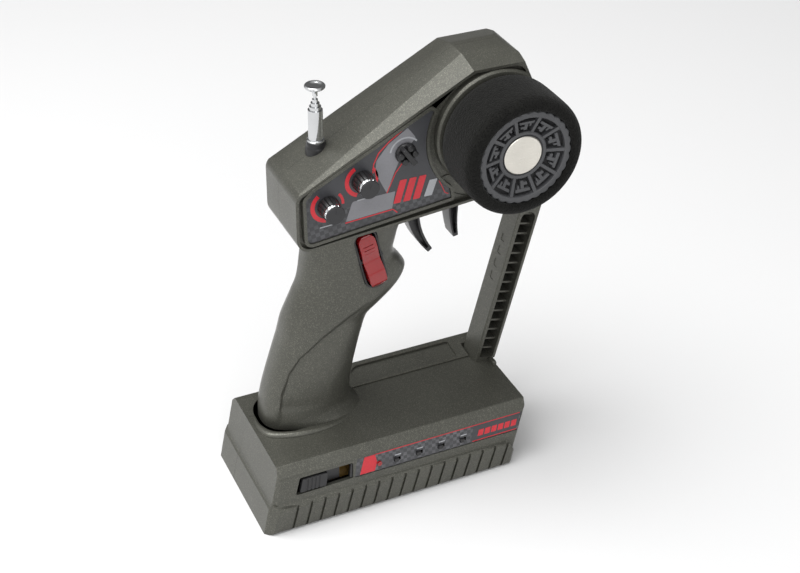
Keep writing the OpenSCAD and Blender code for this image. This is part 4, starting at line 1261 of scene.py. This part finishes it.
@dataclass
class SteeringWheel:
    """Foam tyre on a pierced rim with a brushed centre cap."""

    foam_radius: float = 36.5
    windows: int = 10
    scallops: int = 30
    dish: float = 3.4

    def __post_init__(self) -> None:
        """Takes places from the frame."""
        self.centre = Vector((middle("wheel_shaft").x, 0, middle("wheel_shaft").z))
        self.foam = datum("steering_foam")
        self.face = datum("steering_rim")[0].y
        self.rim = (datum("steering_rim")[1].x - datum("steering_rim")[0].x) / 2

    def tyre(self) -> None:
        """Publishes the foam tyre."""
        front, back = self.foam[0].y + 0.1, self.foam[1].y - 0.1
        inner, outer = self.rim + 0.02, self.foam_radius
        ring = [(inner, front + 1.6), (inner + 0.5, front + 0.5), (inner + 1.6, front), (outer - 5.6, front + 0.1),
                (outer - 3.6, front + 0.5), (outer - 1.8, front + 1.7), (outer - 0.6, front + 3.6), (outer - 0.1, front + 6),
                (outer, front + 12), (outer, back - 9), (outer - 0.3, back - 4.5), (outer - 1.4, back - 2.0),
                (outer - 3.4, back - 0.6), (outer - 6, back), (inner, back), (inner, front + 1.6)]
        bm = turned(Axis.Y, self.centre, ring, 128)
        piece = publish(bm, "foam_tyre", "steering_wheel", "wheel_foam", ["steering_foam"], 0.0, 60)
        smooth = piece.modifiers.new("round", "SUBSURF")
        smooth.levels = smooth.render_levels = 1

    def dished(self, bm: bmesh.types.BMesh) -> bmesh.types.BMesh:
        """Pushes flat spoke work back towards the hub, so that the wheel's face is dished."""
        for vert in bm.verts:
            out = math.hypot(vert.co.x - self.centre.x, vert.co.z - self.centre.z)
            vert.co.y += self.sag(out)
        return bm

    def sag(self, out: float) -> float:
        """How far the face lies behind the rim's edge at a radius."""
        return self.dish * max(0.0, min(1.0, (24.2 - out) / 11.0))

    def spoke_ring(self) -> bmesh.types.BMesh:
        """Spokes and tread blocks between hub and band."""
        y0, y1 = self.face + 0.3, self.face + 3.2
        parts = []
        for i in range(self.windows):
            spin = Matrix.Translation(self.centre) @ Matrix.Rotation(math.tau * i / self.windows, 4, "Y")
            parts.append(moved(plate(Axis.Y, [(13.4, -0.85, 0), (25, -1.05, 0), (25, 1.05, 0), (13.4, 0.85, 0)],
                                     y0, y1), spin))
            half = Matrix.Translation(self.centre) @ Matrix.Rotation(math.tau * (i + 0.5) / self.windows, 4, "Y")
            shapes = [[(20.2, -4.4, 0.3), (21.8, -4.8, 0.3), (21.8, 4.8, 0.3), (20.2, 4.4, 0.3)],
                      [(16.0, -1.0, 0.2), (20.6, -1.0, 0.2), (20.6, 1.0, 0.2), (16.0, 1.0, 0.2)],
                      [(16.8, 0.6, 0.2), (18.4, 0.6, 0.2), (18.4, 3.2, 0.2), (16.8, 3.0, 0.2)],
                      [(18.2, -3.0, 0.2), (20.4, -3.4, 0.2), (20.4, -2.2, 0.2), (18.2, -1.9, 0.2)]]
            for corners in shapes:
                parts.append(moved(plate(Axis.Y, corners, y0 + 0.4, y1, 3), half))
        return self.dished(gathered(parts))

    def band_edge(self, turn: float) -> float:
        """Radius of the scalloped outer edge of the band at an angle."""
        wave = 0.5 + 0.5 * math.cos(turn * self.scallops)
        return self.rim + 0.35 - 0.95 * (1 - wave ** 0.5)

    def rim_piece(self) -> None:
        """Publishes the pierced rim."""
        f, c = self.face, self.centre
        loop = [(24.3, 3.4), (24.3, 0.45), (24.7, 0.0), (-0.6, 0.0), (0.0, 0.55), (0.0, 2.4)]

        def band(u: float, v: float) -> Vector:
            """Ring with a scalloped outer edge."""
            turn = math.tau * u
            places = loop + loop[:1]
            k = min(int(v * len(loop) + 1e-6), len(loop) - 1)
            share = v * len(loop) - k
            spots = [(self.band_edge(turn) + r if r <= 0 else r, y) for r, y in (places[k], places[k + 1])]
            r, y = (spots[0][i] * (1 - share) + spots[1][i] * share for i in (0, 1))
            return Vector((c.x + r * math.cos(turn), f + y, c.z + r * math.sin(turn)))

        scalloped = wrapped(self.scallops * 8, len(loop), band)
        back = datum("steering_rim")[1].y
        inner = self.rim - 2.2
        shell = turned(Axis.Y, c, [(inner, f + 6), (self.rim - 0.1, f + 6), (self.rim - 0.1, back), (inner, back),
                                   (inner, f + 6)], 128)
        d = f + self.dish
        hub = turned(Axis.Y, c, [(12.3, d + 3.4), (12.3, d + 0.4), (12.7, d + 0.0), (14.0, d - 0.2), (14.6, d + 0.2),
                                 (14.6, d + 3.4), (12.3, d + 3.4)], 96)
        core = turned(Axis.Y, c, [(3.06, d + 5.2), (8, d + 5.2), (8, back + 0.4), (3.06, back + 0.4), (3.06, d + 5.2)], 64)
        publish(gathered([scalloped, shell, hub, core, self.spoke_ring()]), "rim_face", "steering_wheel",
                "rim_plastic", ["steering_rim"], 0.12, 32)
        # the well behind the spoke windows is a near-black copy of the rim plastic: painted shade seen through the
        # windows
        well = turned(Axis.Y, c, [(8, d + 3.3), (13, d + 3.3), (24, f + 3.6), (25.6, f + 3.4), (25.6, f + 5.4), (13, d + 5.4),
                                  (8, d + 5.4), (8, d + 3.3)], 96)
        publish(well, "rim_well", "steering_wheel", "rim_well_plastic", (), 0.0)

    def cap(self) -> None:
        """Publishes the brushed cap and the dark ring round it."""
        c, back = self.centre, datum("wheel_cap")[1].y - 0.9
        front = datum("wheel_cap")[0].y
        disc = turned(Axis.Y, c, [(0, back), (4.7, back), (11.2, back), (11.6, front + 0.9), (11.6, front + 0.5),
                                  (11.2, front + 0.22), (6, front + 0.1), (0, front + 0.05)], 96)
        publish(disc, "centre_cap", "steering_wheel", "brushed_cap_metal", ["wheel_cap"], 0.0, 30)
        ring = turned(Axis.Y, c, [(11.7, back), (11.7, front + 0.5), (12.2, front + 0.45), (12.2, back), (11.7, back)], 96)
        publish(ring, "cap_surround", "steering_wheel", "black_satin_plastic", (), 0.0)

    def build(self) -> None:
        """Publishes the wheel's pieces."""
        self.tyre()
        self.rim_piece()
        self.cap()


# ---------------------------------------------------------------- trigger, strut, aerial


def bend_points(a: Point2, b: Point2, c: Point2, start: float, end: float, count: int = 12) -> list[Corner]:
    """Outline of a tapering bar along a curve.

    Args:
        a: first end of the curve.
        b: its guide point.
        c: last end.
        start: width at the first end.
        end: width at the last end.
        count: number of steps.

    Returns:
        Corners with no rounding, in order round the bar.
    """
    mids = [Vector(a) * (1 - t) ** 2 + Vector(b) * 2 * t * (1 - t) + Vector(c) * t * t
            for t in (i / count for i in range(count + 1))]
    left, right = [], []
    for i, mid in enumerate(mids):
        d = (mids[min(i + 1, count)] - mids[max(i - 1, 0)]).normalized()
        w = (start + (end - start) * i / count) / 2
        left.append((mid.x - d.y * w, mid.y + d.x * w, 0.0))
        right.append((mid.x + d.y * w, mid.y - d.x * w, 0.0))
    return left + right[::-1]


@dataclass
class Trigger:
    """Two hollowed arms on a hub that turns on the pin."""

    arms: tuple[tuple[Point2, Point2, Point2, float, float], ...] = (
        ((33.4, 181), (31, 160), (45, 141.6), 10, 3.4), ((60.6, 181), (58.4, 164), (61.8, 147.4), 8, 3.4))

    def build(self) -> None:
        """Publishes the trigger."""
        low, high = datum("trigger")
        pin = middle("trigger_pin")
        parts = []
        for arm in self.arms:
            bar = eased(plate(Axis.Y, bend_points(*arm), low.y, high.y), 0.5, 2, 40)
            a, b, c, w0, w1 = arm
            pocket = bend_points((a[0], a[1] - 3), b, (c[0] * 0.86 + b[0] * 0.14, c[1] * 0.86 + b[1] * 0.14),
                                 w0 - 2.6, max(w1 - 1.8, 1.0))
            parts.append(shaped(bar, plate(Axis.Y, pocket, low.y - 2, low.y + 3.9),
                                plate(Axis.Y, pocket, high.y - 3.9, high.y + 2)))
        plate_top = plate(Axis.Y, [(29, 180, 1), (65, 180, 1), (52, 199, 2), (42, 199, 2)], low.y, high.y, 4)
        hub = drum(Axis.Y, Vector((pin.x, 0, pin.z)), 5.8, low.y, high.y, 48)
        body = shaped(plate_top, hub, *parts, how="UNION")
        bore = drum(Axis.Y, Vector((pin.x, 0, pin.z)), 2.06, low.y - 5, high.y + 5, 40)
        spring_room = drum(Axis.Y, Vector((pin.x, 0, pin.z)), 7.6, low.y - 5, low.y + 1.9, 48)
        publish(shaped(body, bore, spring_room), "trigger_lever", "trigger", "trigger_plastic",
                ["trigger"], 0.2)


@dataclass
class FrontStrut:
    """Leaning channel-section strut with a ladder of cross ribs."""

    foot_x: float = 79.6
    lean: float = 13.8
    depth: float = 14.6
    ribs: int = 15

    def build(self) -> None:
        """Publishes the strut."""
        low, high = datum("front_strut")
        y0, y1 = low.y, high.y
        foot, top = low.z, high.z
        a = math.radians(self.lean)
        place = Matrix.Translation((self.foot_x, 0, foot)) @ Matrix.Rotation(a, 4, "Y")
        length = (top - foot) / math.cos(a) + 14
        body = moved(plate(Axis.Y, [(0, -16, 0), (self.depth, -16, 0), (self.depth, length, 0), (0, length, 0)], y0, y1), place)
        channel = moved(plate(Axis.Y, [(2.6, 4, 1), (self.depth - 2.2, 4, 1), (self.depth - 2.2, 110, 4.6), (2.6, 110, 4.6)],
                              y0 - 2, y1 - 2.0, 6), place)
        groove = moved(plate(Axis.Y, [(1.5, 2.0, 1), (2.7, 2.0, 0), (2.7, 116, 0), (1.5, 116, 1)], y0 - 2, y0 + 0.7, 3), place)
        notch = moved(brick((-0.4, y0 + 4, 30), (0.5, y1 - 4, 30.6)), place)
        solid = shaped(eased(body, 0.9, 3, 40), channel)
        ribs = []
        for i in range(self.ribs):
            z = 8.5 + i * 7.0
            ribs.append(moved(brick((2.2, y0 + 3.6, z), (self.depth - 2.0, y1 - 1.5, z + 1.3)), place))
        rail = moved(brick((2.2, y0 + 5.2, 4.5), (4.3, y1 - 1.5, 109)), place)
        solid = shaped(solid, gathered(ribs), how="UNION")
        solid = shaped(solid, rail, how="UNION")
        marks = gathered([moved(plate(Axis.X, [(y0 + 6.4, z, 0.8), (y0 + 10.8, z, 0.8), (y0 + 10.8, z + 5, 0.8),
                                               (y0 + 6.4, z + 5, 0.8)], -1, 0.35, 3), place)
                          for z in (58, 67, 76, 85)])
        solid = shaped(solid, marks)
        trim = Head()
        under = plate(Axis.Y, [(0, foot, 0), (191.5, foot, 0), (trim.nose[0] + 0.6, trim.nose[1], 0),
                               (trim.nose[0] - 2, trim.nose[1] + 6, 0), (0, 193, 0)], -10, 60)
        solid = shaped(solid, under, how="INTERSECT")
        solid = shaped(solid, trim.block())
        publish(solid, "strut_channel", "casing", "case_flake_plastic", ["front_strut"], 0.3)
        groove.free()
        notch.free()


@dataclass
class Aerial:
    """Telescopic aerial: boss on the roof, tubes that draw out, and a dished cap."""

    def build(self) -> None:
        """Publishes the boss and the cap."""
        tube = middle("aerial_tube")
        low, high = datum("aerial_boss")
        centre = Vector((tube.x, tube.y, 0))
        radius = (high.x - low.x) / 2
        bore = 4.25
        boss = turned(Axis.Z, centre, [(bore, low.z + 0.5), (5.35, low.z + 0.5), (5.35, low.z + 4.2), (radius - 0.05, low.z + 4.2),
                                       (radius - 0.05, high.z - 4.4), (radius - 0.5, high.z - 3.4), (5.6, high.z - 3.0),
                                       (5.5, high.z - 1.2), (5.1, high.z - 0.2), (4.7, high.z), (bore, high.z),
                                       (bore, low.z + 0.5)], 72)
        slope = Head()
        skin = plate(Axis.Y, [(-60, 150, 0), (60, 150, 0), (60, slope.rear_top + 106.3 * 0.5617 - 0.6, 0),
                              (slope.rear_x, slope.rear_top - 0.4, 0), (-60, 200, 0)], -20, 60)
        room = drum(Axis.Z, centre, 5.4, 100, 300, 48)
        publish(shaped(boss, shaped(skin, room)), "aerial_socket", "casing", "black_satin_plastic",
                ["aerial_boss"], 0.15)
        lip = turned(Axis.Z, centre, [(4.22, high.z - 0.4), (5.0, high.z - 0.4), (5.0, high.z + 0.5), (4.7, high.z + 0.8),
                                      (4.22, high.z + 0.8), (4.22, high.z - 0.4)], 64)
        publish(lip, "aerial_ferrule", "casing", "chrome", (), 0.0)
        c0, c1 = datum("aerial_cap")
        z, r = c0.z, (c1.x - c0.x) / 2
        cap = turned(Axis.Z, centre, [(0, z + 0.02), (1.55, z + 0.02), (1.55, z + 2.4), (2.2, z + 3.4), (4.6, z + 4.4), (r - 0.3, z + 5.0),
                                      (r - 0.02, z + 5.6), (r - 0.1, z + 6.2), (r - 0.7, z + 6.7), (r - 1.5, z + 6.75),
                                      (r - 2.2, z + 6.2), (2.0, z + 5.9), (0, z + 5.85)], 72)
        publish(cap, "aerial_cap_dish", "aerial_5", "chrome", ["aerial_cap"], 0.0, 50)


class Fittings:
    """Pieces that keep their CAD shape and only get a finish."""

    finishes: dict[str, str] = {
        "battery_door": "case_flake_plastic", "battery_tray": "black_satin_plastic", "battery_cells": "cell_wrap",
        "battery_contacts": "steel", "power_switch_body": "black_satin_plastic", "power_led": "red_gloss_plastic",
        "reverse_switch_body": "black_satin_plastic", "rocker_pin": "black_satin_plastic", "trim_pots": "steel", "rate_pot": "steel",
        "wheel_bush": "bronze", "wheel_shaft": "steel", "steering_pot": "black_satin_plastic",
        "steering_spring": "steel", "wheel_screw": "steel", "trigger_pin": "steel", "trigger_spring": "steel",
        "throttle_pot": "black_satin_plastic", "aerial_tube": "chrome", "main_board": "board_green", "crystal": "steel",
        "case_screws": "steel"}

    def dress(self) -> None:
        """Gives each CAD piece its finish."""
        names = dict(self.finishes)
        for i in range(1, 5):
            names[f"reverse_lever_{i}"] = "black_satin_plastic"
            names[f"aerial_section_{i + 1}"] = "chrome"
        for node, finish in names.items():
            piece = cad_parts[node]
            piece.data.materials.clear()
            piece.data.materials.append(PALETTE[finish])
            log.info("%s keeps its CAD shape in %s", node, finish)


# ---------------------------------------------------------------- studio


@dataclass
class Studio:
    """Pale floor, soft lights and the camera."""

    floor_size: float = 6.0
    floor_tone: float = 0.745
    key: float = 22.0
    fill: float = 3.5
    sky: float = 0.95

    def floor(self) -> None:
        """Lays the floor."""
        bm = bmesh.new()
        bmesh.ops.create_grid(bm, x_segments=2, y_segments=2, size=self.floor_size / 2)
        bmesh.ops.translate(bm, verts=bm.verts[:], vec=(0, 0, CAD_BOX[0][2] - 0.00005))
        mesh = bpy.data.meshes.new("floor")
        bm.to_mesh(mesh)
        bm.free()
        ground = bpy.data.objects.new("floor", mesh)
        bpy.context.scene.collection.objects.link(ground)
        g = Graph("floor_paper")
        tone = self.floor_tone
        g.link(g.blend(g.noise(3, 2), (tone * 0.995,) * 3, (tone, tone, tone * 1.004)), g.shader.inputs["Base Color"])
        g.set(Roughness=0.9)
        g.shader.inputs["Specular IOR Level"].default_value = 0.1
        mesh.materials.append(g.material)

    def lamp(self, name: str, place: Corner, aim: Corner, size: float, power: float, tone: Corner = (1, 1, 1)) -> None:
        """Adds an area light that faces a point."""
        data = bpy.data.lights.new(name, "AREA")
        data.shape, data.size, data.energy, data.color = "DISK", size, power, tone
        made = bpy.data.objects.new(name, data)
        made.location = place
        made.rotation_euler = (Vector(aim) - Vector(place)).to_track_quat("-Z", "Y").to_euler()
        bpy.context.scene.collection.objects.link(made)

    def camera(self) -> None:
        """Sets up the camera."""
        data = bpy.data.cameras.new("view")
        data.lens, data.sensor_width = 68.04, 36.0
        data.clip_start, data.clip_end = 0.05, 20
        made = bpy.data.objects.new("view", data)
        azimuth, elevation, roll = math.radians(-25.2), math.radians(34.4), math.radians(0.8)
        back = Vector((math.sin(azimuth) * math.cos(elevation), -math.cos(azimuth) * math.cos(elevation), math.sin(elevation)))
        turn = (-back).to_track_quat("-Z", "Y").to_matrix().to_4x4() @ Matrix.Rotation(roll, 4, "Z")
        made.matrix_world = Matrix.Translation((-0.29355, -0.67161, 0.63358)) @ turn
        bpy.context.scene.collection.objects.link(made)
        bpy.context.scene.camera = made

    def build(self) -> None:
        """Sets the stage."""
        self.floor()
        self.lamp("overhead", (-0.45, 0.05, 1.5), (0.0, 0.0, 0.1), 1.3, self.key)
        self.lamp("front", (-0.2, -1.4, 0.9), (0.0, 0.0, 0.12), 0.9, self.fill)
        world = bpy.data.worlds.new("studio")
        world.use_nodes = True
        tree = world.node_tree
        glow = tree.nodes["Background"]
        way = tree.nodes.new("ShaderNodeTexCoord").outputs["Generated"]
        side = tree.nodes.new("ShaderNodeVectorMath")
        side.operation = "DOT_PRODUCT"
        side.inputs[1].default_value = (-0.72, -0.45, 0.53)
        fade = tree.nodes.new("ShaderNodeMapRange")
        fade.inputs["From Min"].default_value, fade.inputs["From Max"].default_value = -0.15, 0.55
        fade.inputs["To Min"].default_value, fade.inputs["To Max"].default_value = 0.16 * self.sky, self.sky
        tree.links.new(way, side.inputs[0])
        tree.links.new(side.outputs["Value"], fade.inputs["Value"])
        tree.links.new(fade.outputs["Result"], glow.inputs["Strength"])
        glow.inputs["Color"].default_value = (1.0, 1.0, 1.0, 1)
        bpy.context.scene.world = world
        bpy.context.scene.view_settings.view_transform = "Standard"
        self.camera()


def main() -> None:
    """Builds every sub-assembly in order."""
    Studio().build()
    base = BaseCasing()
    base.build()
    base.toe_tab()
    ControlStrip(base).build()
    grip = Grip(seam=base.seam)
    grip.build()
    grip.crescent()
    RockerSwitch().build()
    head = Head()
    head.build()
    PanelPrint(head).build()
    TrimKnob("rear_trim", "trim_knob_rear", "trim_knob_rear", "trim_cap_rear").build()
    TrimKnob("mid_trim", "trim_knob_mid", "trim_knob_mid", "trim_cap_mid").build()
    RateKnob().build()
    SteeringWheel().build()
    Trigger().build()
    FrontStrut().build()
    Aerial().build()
    Fittings().dress()
    bpy.context.view_layer.update()


if __name__ == "__main__":
    main()
